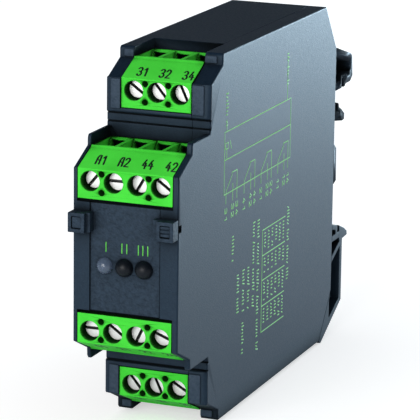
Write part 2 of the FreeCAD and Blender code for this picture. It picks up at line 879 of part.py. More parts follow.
def armature():
    # Iron flap that stands on the yoke's end, with a tongue up into the card
    y1 = armature_y + armature_thickness
    flap = raised(yoke_low + 0.2, card_height - 0.4, armature_y, y1, -yoke_half, yoke_half)
    tongue = raised(card_height - 0.5, card_height + card_thickness, armature_y, y1,
                    -tongue_half, tongue_half)
    return joined([flap, tongue])


def contact_card():
    # Insulating card that carries the armature's stroke to the four leaves
    h0 = card_height
    h1 = card_height + card_thickness
    neck_half = 2 * tongue_half
    neck = raised(h0, h1, armature_y - card_margin, leaf_y - 2 * card_margin, -neck_half, neck_half)
    half = pole_rows()[-1] + leaf_width / 2 + card_margin
    comb = raised(h0, h1, leaf_y - 2.5 * card_margin, leaf_y + 1.5 * card_margin, -half, half)
    gap = running_gap
    slots = [raised(h0 - 1, h1 + 1, armature_y - gap, armature_y + armature_thickness + gap,
                    -tongue_half - gap, tongue_half + gap)]
    for z in pole_rows():
        slots.append(raised(h0 - 1, h1 + 1, leaf_y - leaf_thickness / 2 - gap, leaf_y + leaf_thickness / 2 + gap,
                            z - leaf_width / 2 - gap, z + leaf_width / 2 + gap))
    return joined([neck, comb]).cut(slots)


# Sprung foot

def foot_outline():
    # Side view from the rail's lower edge: slot for its flange, nose, back wall and pull end
    front = body_depth + guide_gap
    top = foot_top_z - rail_room
    nose = seat_y + foot_reach
    back = seat_y + foot_wall_reach
    nose_z = rail_low - 2.0
    return [
        (front, top), (seat_y, top - 0.9), (seat_y, rail_low - rail_room), (slot_back, rail_low - rail_room),
        (slot_back, top - 1.2), (nose - 2.8, top - 2.4), (nose - 0.4, nose_z + 0.5), (nose - 0.2, nose_z - 0.5),
        (back, nose_z - 0.7), (back, -half_height + foot_heel_rise), (top_rear_y + wall, foot_tip_z),
        (top_rear_y + 0.1, foot_tip_z + 0.4), (front, -rear_slope_z - 0.1),
    ]


def foot_windows():
    # Recesses that leave a rim, a slanting rib and a middle web, seen from either side
    front = body_depth - running_gap
    back = seat_y + foot_wall_reach - foot_rim
    heel = -half_height + foot_heel_rise
    high = rail_low - 0.5
    return [
        [(front, high + 1.6), (seat_y - 1.2, high + 0.9), (seat_y - 1.2, high), (front, high)],
        [(front, high - 1.4), (back - 0.7, high - 1.4), (back - 0.3, high - 2.4), (front, high - 5.0)],
        [(front, high - foot_rib_front), (back, high - foot_rib_back), (back, heel + 0.7),
         (front - 0.5, heel - 2.5), (front - 0.5, -rear_slope_z - 2.3), (front, -rear_slope_z - 1.6)],
    ]


def din_foot():
    # Latch that slides in the rear channel, with a lug above its spring and a slot for a blade
    front_y = foot_slot_y + guide_gap
    back_y = front_y + foot_plate
    low = -rear_slope_z - foot_plate_drop
    body = prism(foot_outline(), -foot_half_width, foot_half_width)
    pockets = []
    for window in foot_windows():
        for side in (-1, 1):
            x0, x1 = sorted((side * foot_web / 2, side * (foot_half_width + 1)))
            pockets.append(prism(window, x0, x1))
    body = body.cut(pockets)
    plate = box(-foot_plate_half, foot_plate_half, front_y, back_y, low, foot_top_z)
    neck = box(-foot_neck_half, foot_neck_half, back_y - 0.1, body_depth + 3 * guide_gap, low, foot_top_z)
    half_lug = spring_room - guide_gap
    lug = box(-half_lug, half_lug, spring_y - half_lug, front_y + 0.1, spring_head_z, foot_top_z)
    blade_y = top_rear_y + wall + 0.5
    blade_slot = box(-blade_half, blade_half, blade_y, blade_y + 1.6, foot_tip_z - 2,
                     foot_tip_z + foot_heel_rise)
    return joined([body, plate, neck, lug]).cut(blade_slot)


def foot_spring():
    # Compression spring between the tower's ledge and the foot's lug
    height = spring_head_z - spring_foot_z - spring_wire - 2 * spring_seat_gap
    base_z = spring_foot_z + spring_wire / 2 + spring_seat_gap
    helix = Part.makeHelix(height / spring_turns, height, spring_radius)
    start = FreeCAD.Vector(spring_radius, 0, 0)
    circle = Part.Wire(Part.makeCircle(spring_wire / 2, start, FreeCAD.Vector(0, 1, 0)))
    coil = Part.Wire(helix).makePipeShell([circle], True, True)
    coil.translate(FreeCAD.Vector(0, spring_y, base_z))
    return coil


# Turn of each screw's slot in degrees, from left to right
slot_angles = {
    "upper_rear": (-35, -50, -65),
    "upper_front": (50, 0, 60, -35),
    "lower_front": (0, -35, 65, -20),
    "lower_rear": (-50, -65, -30),
}


def clamp_pieces(tier, made):
    # The block, screws, cages and contact bars of one terminal tier
    sign = 1 if tier.startswith("upper") else -1
    if tier.endswith("front"):
        places, y0, base_z = pole_places(front_block_poles, front_pole_middle), 0, front_block_z
        holes = [places[0] + pitch / 2, places[2] + pitch / 2]
        block = terminal_block(front_block_left, front_block_right, places, holes, y0, base_z)
    else:
        places, y0, base_z = pole_places(rear_block_poles, rear_pole_middle), step_y, rear_block_z
        holes = [x + pitch / 2 for x in places[:-1]]
        block = terminal_block(rear_block_left, rear_block_right, places, holes, y0, base_z)
    bars = Part.makeCompound([contact_bar(x, base_z, y0) for x in places])
    made[tier + "_block"] = block if sign > 0 else mirrored(block)
    made[tier + "_bars"] = bars if sign > 0 else mirrored(bars)
    axis_z = sign * (base_z + bore_height)
    for number, (x, angle) in enumerate(zip(places, slot_angles[tier]), start=1):
        made[tier + "_screw_" + str(number)] = terminal_screw(x, axis_z, y0, angle)
        made[tier + "_cage_" + str(number)] = clamp_cage(x, axis_z, y0)


def pieces():
    made = {
        "housing": housing(),
        "side_cover": side_cover(),
        "front_panel": front_panel(),
        "light_guide": light_guide(),
        "indicator_lamp": indicator_lamp(),
        "blank_dome_middle": blank_dome(indicator_x[1]),
        "blank_dome_right": blank_dome(indicator_x[2]),
        "front_board": front_board(),
        "main_board": main_board(),
        "rectifier": rectifier(),
        "smoothing_capacitor": smoothing_capacitor(),
        "relay_base": relay_base(),
        "relay_case": relay_case(),
        "coil_bobbin": coil_bobbin(),
        "coil_winding": coil_winding(),
        "coil_core": coil_core(),
        "yoke": yoke(),
        "armature": armature(),
        "contact_card": contact_card(),
        "contact_leaves": contact_leaves(),
        "fixed_contacts": fixed_contacts(),
        "din_foot": din_foot(),
        "foot_spring": foot_spring(),
    }
    for tier in slot_angles:
        clamp_pieces(tier, made)
    return made


os.makedirs("parts", exist_ok=True)
for name, shape in pieces().items():
    shape.translate(FreeCAD.Vector(0, -seat_y, -rail_z))
    shape.exportStep("parts/" + name + ".step")
    print(name, shape.isValid(), len(shape.Solids), round(shape.Volume, 1))
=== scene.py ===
import json
import math

import bmesh
import bpy
import numpy as np
from mathutils import Matrix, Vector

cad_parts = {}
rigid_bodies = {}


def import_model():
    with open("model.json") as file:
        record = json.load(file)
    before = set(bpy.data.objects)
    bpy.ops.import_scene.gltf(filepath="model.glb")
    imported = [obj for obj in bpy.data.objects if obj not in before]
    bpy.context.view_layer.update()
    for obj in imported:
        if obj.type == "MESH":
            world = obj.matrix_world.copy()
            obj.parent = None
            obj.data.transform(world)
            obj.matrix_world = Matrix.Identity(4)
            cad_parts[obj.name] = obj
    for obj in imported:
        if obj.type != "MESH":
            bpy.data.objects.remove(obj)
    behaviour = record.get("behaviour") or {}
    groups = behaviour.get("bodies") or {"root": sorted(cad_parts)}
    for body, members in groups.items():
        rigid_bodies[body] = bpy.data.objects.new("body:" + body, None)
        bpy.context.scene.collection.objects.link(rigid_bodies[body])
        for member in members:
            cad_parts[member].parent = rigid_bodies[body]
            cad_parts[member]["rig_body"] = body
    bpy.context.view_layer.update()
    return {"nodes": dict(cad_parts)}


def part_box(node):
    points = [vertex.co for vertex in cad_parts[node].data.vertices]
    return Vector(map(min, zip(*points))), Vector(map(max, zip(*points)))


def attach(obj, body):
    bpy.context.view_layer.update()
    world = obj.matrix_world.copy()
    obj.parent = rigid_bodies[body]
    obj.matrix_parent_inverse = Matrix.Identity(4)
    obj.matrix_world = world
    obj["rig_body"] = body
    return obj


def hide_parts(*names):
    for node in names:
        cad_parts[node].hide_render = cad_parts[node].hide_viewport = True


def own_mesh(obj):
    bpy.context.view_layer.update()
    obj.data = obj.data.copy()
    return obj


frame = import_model()
print("frame loaded:", len(frame["nodes"]), "nodes")

# Layout numbers are millimetres: x across from mid-width, y back from the front face, z up from
# mid-height. The boxes of the housing and its cover give where that is in the frame.
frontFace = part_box("housing")[0].y
coverLow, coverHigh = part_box("side_cover")
midHeight = (coverLow.z + coverHigh.z) / 2
mm = 0.001


def place(points):
    # layout millimetres to frame metres, for one point or a whole array of points
    points = np.asarray(points, float)
    return points * mm + np.array([0.0, frontFace, midHeight])


# Mesh helpers. Doubles are merged within the gaps, in metres. On the CAD forms an edge is rounded where
# it turns by more than outerTurn or anyTurn degrees, and shading breaks where it turns by crease.
mergeGap, cadMergeGap = 1e-7, 2e-6
rounding = {"planeGap": 0.012, "shortest": 0.15, "outerTurn": 35, "anyTurn": 28, "segments": 2, "crease": 50}


def closedGrid(rows, columns, base=0):
    # faces of a closed tube: quads between neighbouring rings of points, stored ring by ring from
    # number base on, and a cap over the first and the last ring
    r, c = np.meshgrid(np.arange(rows - 1), np.arange(columns), indexing="ij")
    r2, c2 = r + 1, (c + 1) % columns
    quads = np.stack([r * columns + c, r * columns + c2, r2 * columns + c2, r2 * columns + c], axis=-1)
    caps = np.stack([np.arange(columns), np.arange(columns) + (rows - 1) * columns])
    return (quads.reshape(-1, 4) + base).tolist() + (caps + base).tolist()


def linkMesh(mesh, shell, material, crease=None):
    # the cleaned shell goes into its mesh, which is shaded smooth but for its creases
    shell.to_mesh(mesh)
    shell.free()
    mesh.materials.append(material)
    mesh.polygons.foreach_set("use_smooth", [True] * len(mesh.polygons))
    if crease:
        mesh.set_sharp_from_angle(angle=math.radians(crease))
    piece = bpy.data.objects.new(mesh.name, mesh)
    bpy.context.scene.collection.objects.link(piece)
    return piece


def newPiece(name, points, faces, material, body="module", crease=None):
    # a piece from points in metres, with its doubles merged and its faces turned outwards
    mesh = bpy.data.meshes.new(name)
    mesh.from_pydata(np.asarray(points, float).tolist(), [], faces)
    shell = bmesh.new()
    shell.from_mesh(mesh)
    bmesh.ops.remove_doubles(shell, verts=shell.verts, dist=mergeGap)
    bmesh.ops.recalc_face_normals(shell, faces=shell.faces)
    piece = linkMesh(mesh, shell, material, crease)
    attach(piece, body)
    return piece


def copyNode(node, name, shell, material):
    # a finished mesh takes the place of a CAD node, on that node's body
    piece = linkMesh(bpy.data.meshes.new(name), shell, material, rounding["crease"])
    piece.modifiers.new("flatFaces", "WEIGHTED_NORMAL").keep_sharp = True
    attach(piece, frame["nodes"][node]["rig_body"])
    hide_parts(node)
    return piece


def weldedShell(node):
    # a copy of a CAD node's mesh with its loose triangles joined
    shell = bmesh.new()
    shell.from_mesh(frame["nodes"][node].data)
    bmesh.ops.remove_doubles(shell, verts=shell.verts, dist=cadMergeGap)
    return shell


def outerPlanes(outline, left, right):
    # the planes through the sides of a (y, z) outline, and the two side planes
    corners = np.asarray(outline, float)
    along = np.roll(corners, -1, axis=0) - corners
    normals = np.stack([np.zeros(len(along)), along[:, 1], -along[:, 0]], axis=1)
    normals /= np.linalg.norm(normals, axis=1)[:, None]
    points = np.stack([np.zeros(len(along)), corners[:, 0], corners[:, 1]], axis=1)
    sides = np.array([[left, 0, 0], [right, 0, 0]], float)
    return np.vstack([points, sides]), np.vstack([normals, [[1, 0, 0], [1, 0, 0]]])


def roundedNode(node, name, material, planes, width, reach=math.inf, behind=math.inf):
    # rounds the sharp edges that lie in an outer plane or behind a given depth, and no farther out
    # from mid-width than reach
    shell = weldedShell(node)
    points, normals = planes
    spots = (np.array([v.co for v in shell.verts]) - place((0, 0, 0))) / mm
    offsets = np.einsum("pk,vpk->vp", normals, spots[:, None, :] - points[None, :, :])
    onPlane = np.abs(offsets) < rounding["planeGap"]
    shell.verts.index_update()
    chosen = []
    for edge in shell.edges:
        ends = [v.index for v in edge.verts]
        tooShort = edge.calc_length() < rounding["shortest"] * mm
        if len(edge.link_faces) != 2 or tooShort or max(abs(spots[ends, 0])) > reach:
            continue
        outside = onPlane[ends].all(axis=0).any() or min(spots[ends, 1]) > behind
        if outside and edge.calc_face_angle(0.0) > math.radians(rounding["outerTurn"]):
            chosen.append(edge)
    bmesh.ops.bevel(shell, geom=chosen, offset=width * mm, segments=rounding["segments"], affect="EDGES",
                    profile=0.5, clamp_overlap=False, loop_slide=True, miter_outer="ARC")
    return copyNode(node, name, shell, material)


def softenNode(node, name, material, width):
    # rounds every sharp edge of a CAD node
    piece = copyNode(node, name, weldedShell(node), material)
    bevel = piece.modifiers.new("edges", "BEVEL")
    bevel.width = width * mm
    bevel.segments = rounding["segments"]
    bevel.limit_method = "ANGLE"
    bevel.angle_limit = math.radians(rounding["anyTurn"])
    bevel.miter_outer = "MITER_ARC"
    piece.modifiers.move(1, 0)
    return piece


# Stroke printing: glyphs and lines are flat rounded ribbons laid on a surface. The tip gives, from the
# end inwards, how far past the path each ring lies and how wide it is, both in pen widths.
glyphs = {
    "1": [[(0.10, 0.74), (0.36, 1.0), (0.36, 0.0)]],
    "2": [[(0.03, 0.74), (0.10, 0.92), (0.30, 1.0), (0.50, 0.92), (0.56, 0.72), (0.44, 0.48), (0.02, 0.0),
           (0.58, 0.0)]],
    "3": [[(0.04, 0.84), (0.18, 0.98), (0.36, 1.0), (0.53, 0.90), (0.55, 0.70), (0.42, 0.56), (0.24, 0.53)],
          [(0.24, 0.53), (0.46, 0.48), (0.57, 0.30), (0.50, 0.10), (0.30, 0.0), (0.10, 0.04), (0.0, 0.18)]],
    "4": [[(0.36, 1.0), (0.02, 0.34), (0.60, 0.34)], [(0.42, 0.62), (0.42, 0.0)]],
    "A": [[(0.0, 0.0), (0.08, 0.72), (0.24, 1.0), (0.50, 1.0), (0.50, 0.0)], [(0.05, 0.46), (0.50, 0.46)]],
}
lettering = {"advance": {"1": 0.66, "A": 0.80}, "usualAdvance": 0.86, "gap": 0.25}
printing = {"rise": 0.03, "sunk": 0.4, "spacing": 1.2, "arcPoints": 5,
            "tip": ((0.45, 0.05), (0.315, 0.7), (0.0, 1.0))}


def ribbon(path, width, base):
    # a flattened tube along a flat path: half-ellipse rings, turned with the path and shrunk at both ends
    along = np.gradient(path, axis=0)
    along /= np.linalg.norm(along, axis=1)[:, None]
    beyond, narrowed = np.array(printing["tip"]).T
    first = path[0] - beyond[:, None] * width * along[0]
    last = path[-1] + beyond[::-1, None] * width * along[-1]
    spine = np.vstack([first, path[1:-1], last])
    rings = len(beyond)
    heading = np.vstack([np.repeat(along[:1], rings, 0), along[1:-1], np.repeat(along[-1:], rings, 0)])
    size = np.concatenate([narrowed, np.ones(len(path) - 2), narrowed[::-1]])
    side = np.stack([-heading[:, 1], heading[:, 0]], axis=1)
    angle = np.linspace(0, math.pi, printing["arcPoints"])
    across = np.concatenate([np.cos(angle), [0.0]]) * width / 2
    up = np.concatenate([np.sin(angle), [-printing["sunk"]]]) * printing["rise"]
    flat = spine[:, None, :] + side[:, None, :] * (across[None, :, None] * size[:, None, None])
    height = up[None, :] * size[:, None]
    points = np.concatenate([flat, height[..., None]], axis=-1)
    return points.reshape(-1, 3), closedGrid(*points.shape[:2], base)


def refine(path, spacing):
    # the same corners, with enough points between them for the ribbon to keep its width
    path = np.asarray(path, float)
    length = np.concatenate([[0], np.cumsum(np.linalg.norm(np.diff(path, axis=0), axis=1))])
    count = max(3, int(length[-1] / spacing) + 1)
    wanted = np.unique(np.concatenate([np.linspace(0, length[-1], count), length[1:-1]]))
    return np.stack([np.interp(wanted, length, path[:, k]) for k in (0, 1)], axis=1)


def wordPaths(word, height, lean, narrow):
    # the strokes of a word with its middle at the origin, the pen moving along x
    paths, pen = [], 0.0
    for letter in word:
        for stroke in glyphs[letter]:
            points = np.asarray(stroke, float)
            points[:, 0] = (points[:, 0] + pen) * narrow + points[:, 1] * lean
            paths.append(points * height)
        pen += lettering["advance"].get(letter, lettering["usualAdvance"])
    shift = np.array([(pen - lettering["gap"]) * narrow / 2 + lean / 2, 0.5]) * height
    return [p - shift for p in paths]


def printedPiece(name, strokes, surface, material):
    # strokes are (path, pen width) on a flat surface, given by its origin and two directions along it
    origin, right, up = (np.asarray(v, float) for v in surface)
    right, up = right / np.linalg.norm(right), up / np.linalg.norm(up)
    normal = np.cross(right, up)
    points, faces, count = [], [], 0
    for path, width in strokes:
        local, tube = ribbon(refine(path, width * printing["spacing"]), width, count)
        points.append(origin + local[:, :1] * right + local[:, 1:2] * up + local[:, 2:] * normal)
        faces += tube
        count += len(local)
    return newPiece(name, place(np.vstack(points)), faces, material)


# Shader groups

def newGroup(name, inputs, outputs):
    # an empty group; inputs are (label, kind, value) and outputs are labels of floats
    group = bpy.data.node_groups.new(name, "ShaderNodeTree")
    for label, kind, value in inputs:
        socket = group.interface.new_socket(label, in_out="INPUT", socket_type="NodeSocket" + kind)
        if value is not None:
            socket.default_value = value
    for label in outputs:
        group.interface.new_socket(label, in_out="OUTPUT", socket_type="NodeSocketFloat")
    return group, group.nodes.new("NodeGroupInput").outputs, group.nodes.new("NodeGroupOutput").inputs


def addNode(tree, kind, links=(), **values):
    # a node with its settings, and its inputs linked or given by name
    node = tree.nodes.new(kind)
    for key, value in values.items():
        setattr(node, key, value)
    for label, source in links:
        if isinstance(source, bpy.types.NodeSocket):
            tree.links.new(source, node.inputs[label])
        else:
            node.inputs[label].default_value = source
    return node


def calc(tree, operation, first, second, **values):
    # the result of a maths node on two sockets or numbers
    links = [(0, first), (1, second)]
    return addNode(tree, "ShaderNodeMath", links, operation=operation, **values).outputs[0]


def noise(tree, vector, scale, detail, roughness=0.5):
    # the value of a noise texture, with its scale per metre
    links = [("Vector", vector), ("Scale", scale), ("Detail", detail), ("Roughness", roughness)]
    return addNode(tree, "ShaderNodeTexNoise", links).outputs["Fac"]


def spread(tree, mask, low=0.0, high=1.0, window=(0.3, 0.7), **values):
    # the part of a mask inside the window, stretched from low to high
    ends = {"From Min": window[0], "From Max": window[1], "To Min": low, "To Max": high}
    return addNode(tree, "ShaderNodeMapRange", [("Value", mask), *ends.items()], **values).outputs["Result"]


def blendValues(tree, mask, first, second):
    # first where the mask is 0, second where it is 1
    return addNode(tree, "ShaderNodeMix", [(0, mask), (2, first), (3, second)]).outputs[0]


def blendColours(tree, mask, first, second):
    # each colour is a socket or three numbers
    first, second = (c if isinstance(c, bpy.types.NodeSocket) else (*c, 1.0) for c in (first, second))
    return addNode(tree, "ShaderNodeMix", [(0, mask), (6, first), (7, second)], data_type="RGBA").outputs[2]


patchScale = {"rubAndHighlight": 900.0, "blotch": 350.0, "flow": 260.0}    # patches in a metre


def mouldGroup():
    # fine spark-eroded grain and slow mottling of a moulded surface, each with its size in millimetres
    group, given, out = newGroup("mouldGrain", [("Vector", "Vector", None), ("Grain Size", "Float", 0.2),
                                                ("Cloud Size", "Float", 9.0)], ["Height", "Cloud"])
    grainScale = calc(group, "DIVIDE", 1 / mm, given["Grain Size"])
    cloudScale = calc(group, "DIVIDE", 1 / mm, given["Cloud Size"])
    fine = noise(group, given["Vector"], grainScale, 3.0, 0.6)
    pits = addNode(group, "ShaderNodeTexVoronoi", [("Vector", given["Vector"]), ("Scale", grainScale)])
    group.links.new(calc(group, "ADD", fine, pits.outputs["Distance"]), out["Height"])
    group.links.new(noise(group, given["Vector"], cloudScale, 4.0, 0.55), out["Cloud"])
    return group


def rimGroup():
    # mask of worn outer edges, which also paints their highlight: where the rounded normal turns away from the
    # face normal
    group, given, out = newGroup("edgeWearAndHighlight", [("Vector", "Vector", None), ("Reach", "Float", 0.00025),
                                             ("Amount", "Float", 1.0)], ["Mask"])
    soft = addNode(group, "ShaderNodeBevel", [("Radius", given["Reach"])], samples=4)
    face = addNode(group, "ShaderNodeNewGeometry")
    dot = addNode(group, "ShaderNodeVectorMath", [(0, soft.outputs["Normal"]), (1, face.outputs["Normal"])],
                  operation="DOT_PRODUCT")
    turned = calc(group, "SUBTRACT", 1.0, dot.outputs["Value"])
    patchy = calc(group, "MULTIPLY", turned, noise(group, given["Vector"], patchScale["rubAndHighlight"], 3.0))
    group.links.new(calc(group, "MULTIPLY", patchy, given["Amount"], use_clamp=True), out["Mask"])
    return group


def brushGroup():
    # fine drawn lines of a machined or plated metal face, along one axis
    group, given, out = newGroup("drawnMetal", [
        ("Vector", "Vector", None), ("Stretch", "Vector", (1.0, 1.0, 1.0)), ("Scale", "Float", 2500.0)],
        ["Lines", "Blotch"])
    stretched = addNode(group, "ShaderNodeVectorMath", [(0, given["Vector"]), (1, given["Stretch"])],
                        operation="MULTIPLY")
    group.links.new(noise(group, stretched.outputs[0], given["Scale"], 2.0), out["Lines"])
    group.links.new(noise(group, given["Vector"], patchScale["blotch"], 3.0), out["Blotch"])
    return group


def recessGroup(name, ownOnly):
    # painted shade: how deep a spot lies in a hole or corner, 0 in the open, 1 where nothing reaches it; this
    # darkens the colour where shade falls
    group, given, out = newGroup(name, [("Reach", "Float", 0.003), ("Gain", "Float", 1.0)], ["Depth"])
    hidden = addNode(group, "ShaderNodeAmbientOcclusion", [("Distance", given["Reach"])], samples=8,
                     only_local=ownOnly)
    depth = calc(group, "SUBTRACT", 1.0, hidden.outputs["AO"])
    group.links.new(calc(group, "MULTIPLY", depth, given["Gain"], use_clamp=True), out["Depth"])
    return group


mouldGrain, edgeWearAndHighlight, drawnMetal = mouldGroup(), rimGroup(), brushGroup()
# painted shade in recesses: the first group counts every object, the second only the part itself, for the dark
# slots of the metal
paintedRecessShade, slotDepth = recessGroup("paintedRecessShade", False), recessGroup("slotDepth", True)

# Materials. Dark blends into light over the mottle's window of a mask, and what is left of the dark colour deep
# in a recess, as painted shade, is given as a share of it. A rubbed edge, painted paler partly as wear and
# partly as highlight, is the light colour times a gain, plus a lift.
mottle = (0.35, 0.65)
paintedShadeShare = {"plastic": 0.04, "metal": 0.03}
edgeRound, lineDepth = 0.12, 0.01    # the shading's rounding of edges, and the relief of drawn lines
edgeWearHighlightGain, edgeWearHighlightLift = 1.35, 0.01


def startMaterial(name, settings):
    # a material with its Principled shader, whose even values sit on its own sockets
    material = bpy.data.materials.new(name)
    material.use_nodes = True
    tree = material.node_tree
    shader = tree.nodes["Principled BSDF"]
    for label, value in settings.items():
        shader.inputs[label].default_value = value
    return material, tree, shader, tree.nodes.new("ShaderNodeTexCoord").outputs["Object"]


def relief(tree, shader, height, strength, depth, *more):
    # a bump of the given depth in millimetres on the shader's normal
    links = [("Strength", strength), ("Distance", depth * mm), ("Height", height), *more]
    bump = addNode(tree, "ShaderNodeBump", links)
    tree.links.new(bump.outputs["Normal"], shader.inputs["Normal"])


def scaled(colour, gain, lift=0.0):
    return tuple(min(1.0, c * gain + lift) for c in colour)


def shadeRecess(tree, group, colour, deepest, gain, reach):
    # painted shade: the colour turned to its deepest by how far in a recess it lies, and the mask of that
    shadeMask = addNode(tree, "ShaderNodeGroup", node_tree=group, links=[
        ("Reach", reach * mm), ("Gain", gain)]).outputs["Depth"]
    return blendColours(tree, shadeMask, colour, deepest), shadeMask


def mouldedPlastic(name, dark, light, roughness, grain=0.25, strength=0.25, depth=0.03, cloud=7.0, rubAndHighlight=0.3,
                   shade=0.0, reach=3.0, tint=(1.0, 1.0, 1.0), level=0.5):
    # Moulded plastic: mottled colour, uneven gloss, spark-eroded grain, paler rubbed edges that are partly
    # painted highlight, and painted shade in recesses. Sizes are millimetres; tint and level are those of the
    # specular layer.
    material, tree, shader, coords = startMaterial(name, {
        "Specular Tint": (*tint, 1.0), "Specular IOR Level": level})
    mould = addNode(tree, "ShaderNodeGroup", node_tree=mouldGrain, links=[
        ("Vector", coords), ("Grain Size", grain), ("Cloud Size", cloud)]).outputs
    # outer edges painted paler, partly as wear and partly as painted highlight
    wearAndHighlight = addNode(tree, "ShaderNodeGroup", node_tree=edgeWearAndHighlight, links=[
        ("Vector", coords), ("Amount", rubAndHighlight)]).outputs
    body = blendColours(tree, spread(tree, mould["Cloud"], window=mottle), dark, light)
    colour = blendColours(tree, wearAndHighlight["Mask"], body, scaled(light, edgeWearHighlightGain, edgeWearHighlightLift))
    gloss = spread(tree, mould["Cloud"], *roughness)
    # painted shade: recesses darken towards the shaded colour and turn fully rough
    if shade:
        colour, shadeMask = shadeRecess(tree, paintedRecessShade, colour, scaled(dark, paintedShadeShare["plastic"]), shade, reach)
        gloss = blendValues(tree, shadeMask, gloss, 1.0)
    tree.links.new(colour, shader.inputs["Base Color"])
    tree.links.new(gloss, shader.inputs["Roughness"])
    soft = addNode(tree, "ShaderNodeBevel", [("Radius", edgeRound * mm)], samples=4)
    relief(tree, shader, mould["Height"], strength, depth, ("Normal", soft.outputs["Normal"]))
    return material


def metal(name, dark, light, roughness, lines, stretch, scale, metallic=1.0, coat=0.0, shade=0.0, reach=1.0):
    # Plated or drawn metal: fine lines in its gloss and relief, faint blotches in its colour. The lines
    # are stretched along the axes that have the smaller numbers.
    material, tree, shader, coords = startMaterial(name, {"Metallic": metallic, "Coat Weight": coat})
    drawn = addNode(tree, "ShaderNodeGroup", node_tree=drawnMetal, links=[
        ("Vector", coords), ("Stretch", stretch), ("Scale", scale)]).outputs
    colour = blendColours(tree, spread(tree, drawn["Blotch"], window=mottle), dark, light)
    # painted shade in the part's own slots and threads
    if shade:
        colour, _ = shadeRecess(tree, slotDepth, colour, scaled(dark, paintedShadeShare["metal"]), shade, reach)
    tree.links.new(colour, shader.inputs["Base Color"])
    tree.links.new(spread(tree, drawn["Lines"], *roughness), shader.inputs["Roughness"])
    relief(tree, shader, drawn["Lines"], lines, lineDepth)
    return material


def boardMaterial(name, look):
    # lacquered laminate: glass weave under green lacquer, with paler tracks that run in steps
    material, tree, shader, coords = startMaterial(name, look["shader"])
    weave = addNode(tree, "ShaderNodeTexWave", [
        ("Vector", coords), ("Scale", look["weave"]), ("Distortion", look["warp"])])
    tracks = addNode(tree, "ShaderNodeTexBrick", [
        ("Vector", coords), ("Scale", look["tracks"]), ("Mortar Size", look["trackWidth"]),
        ("Color1", (0, 0, 0, 1)), ("Color2", (0, 0, 0, 1)), ("Mortar", (1, 1, 1, 1))], offset=0.37, squash=0.8)
    base = blendColours(tree, weave.outputs["Fac"], look["dark"], look["light"])
    colour = blendColours(tree, tracks.outputs["Color"], base, look["track"])
    tree.links.new(colour, shader.inputs["Base Color"])
    tree.links.new(spread(tree, weave.outputs["Fac"], *look["roughness"]), shader.inputs["Roughness"])
    relief(tree, shader, tracks.outputs["Color"], look["relief"], look["depth"])
    return material


def clearMaterial(name, colour, transmission, roughness, ior=1.49, streak=1.15, strength=0.08, depth=0.05):
    # clear moulded plastic with faint flow marks, paler by streak
    material, tree, shader, coords = startMaterial(name, {"Transmission Weight": transmission, "IOR": ior})
    flow = noise(tree, coords, patchScale["flow"], 2.0)
    tint = blendColours(tree, flow, colour, scaled(colour, streak))
    tree.links.new(tint, shader.inputs["Base Color"])
    tree.links.new(spread(tree, flow, *roughness), shader.inputs["Roughness"])
    relief(tree, shader, flow, strength, depth)
    return material


# In the looks below, the shade setting paints shade into recesses, and rubbed edges are paler partly as wear
# and partly as painted highlight.
coolSheen = (0.66, 0.85, 1.0)
housingPlastic = mouldedPlastic("anthraciteMoulding", (0.004, 0.012, 0.026), (0.007, 0.018, 0.035),
                                (0.41, 0.51), grain=0.30, strength=0.7, cloud=0.6, rubAndHighlight=0.5, shade=1.8,
                                reach=6.0, tint=coolSheen, level=0.37)
panelPlastic = mouldedPlastic("anthracitePanel", (0.003, 0.009, 0.020), (0.018, 0.032, 0.054), (0.48, 0.66),
                              grain=0.45, strength=1.0, depth=0.05, cloud=0.9, rubAndHighlight=0.5, shade=1.2,
                              tint=coolSheen, level=0.40)
earPlastic = mouldedPlastic("anthraciteEarField", (0.014, 0.026, 0.046), (0.030, 0.046, 0.074), (0.48, 0.62),
                            grain=0.45, strength=1.0, depth=0.05, cloud=0.9, rubAndHighlight=0.4, shade=1.2,
                            tint=coolSheen, level=0.42)
footPlastic = mouldedPlastic("anthraciteFoot", (0.008, 0.016, 0.028), (0.012, 0.022, 0.036), (0.42, 0.54),
                             grain=0.35, strength=0.4, rubAndHighlight=0.6, shade=1.4, tint=(0.60, 0.86, 1.0), level=0.30)
terminalGreen = mouldedPlastic("terminalGreen", (0.052, 0.63, 0.040), (0.066, 0.72, 0.052), (0.48, 0.58),
                               grain=0.4, strength=0.12, rubAndHighlight=0.4, shade=5.0, reach=2.6, level=0.08)
flatPrint = {"roughness": (0.45, 0.60), "grain": 0.15, "strength": 0.1, "rubAndHighlight": 0.0}
greenPrint = mouldedPlastic("padPrintGreen", (0.12, 0.66, 0.07), (0.17, 0.76, 0.11), **flatPrint)
paleGreenPrint = mouldedPlastic("padPrintPaleGreen", (0.26, 0.74, 0.17), (0.33, 0.82, 0.22), **flatPrint)
blackInk = mouldedPlastic("terminalInk", (0.004, 0.006, 0.008), (0.010, 0.012, 0.014), (0.40, 0.55),
                          grain=0.15, strength=0.1, rubAndHighlight=0.0)
domePlastic = mouldedPlastic("darkLens", (0.002, 0.004, 0.007), (0.004, 0.006, 0.010), (0.38, 0.46),
                             grain=0.8, strength=0.05, rubAndHighlight=0.0, level=0.24)
blackPart = mouldedPlastic("componentBlack", (0.016, 0.016, 0.018), (0.026, 0.026, 0.028), (0.35, 0.5))
whitePart = mouldedPlastic("bobbinWhite", (0.62, 0.60, 0.54), (0.72, 0.70, 0.64), (0.35, 0.5))
cardPlastic = mouldedPlastic("cardTan", (0.56, 0.42, 0.20), (0.66, 0.52, 0.28), (0.4, 0.55))
lampPlastic = mouldedPlastic("lampBody", (0.68, 0.68, 0.64), (0.80, 0.80, 0.76), (0.3, 0.4))

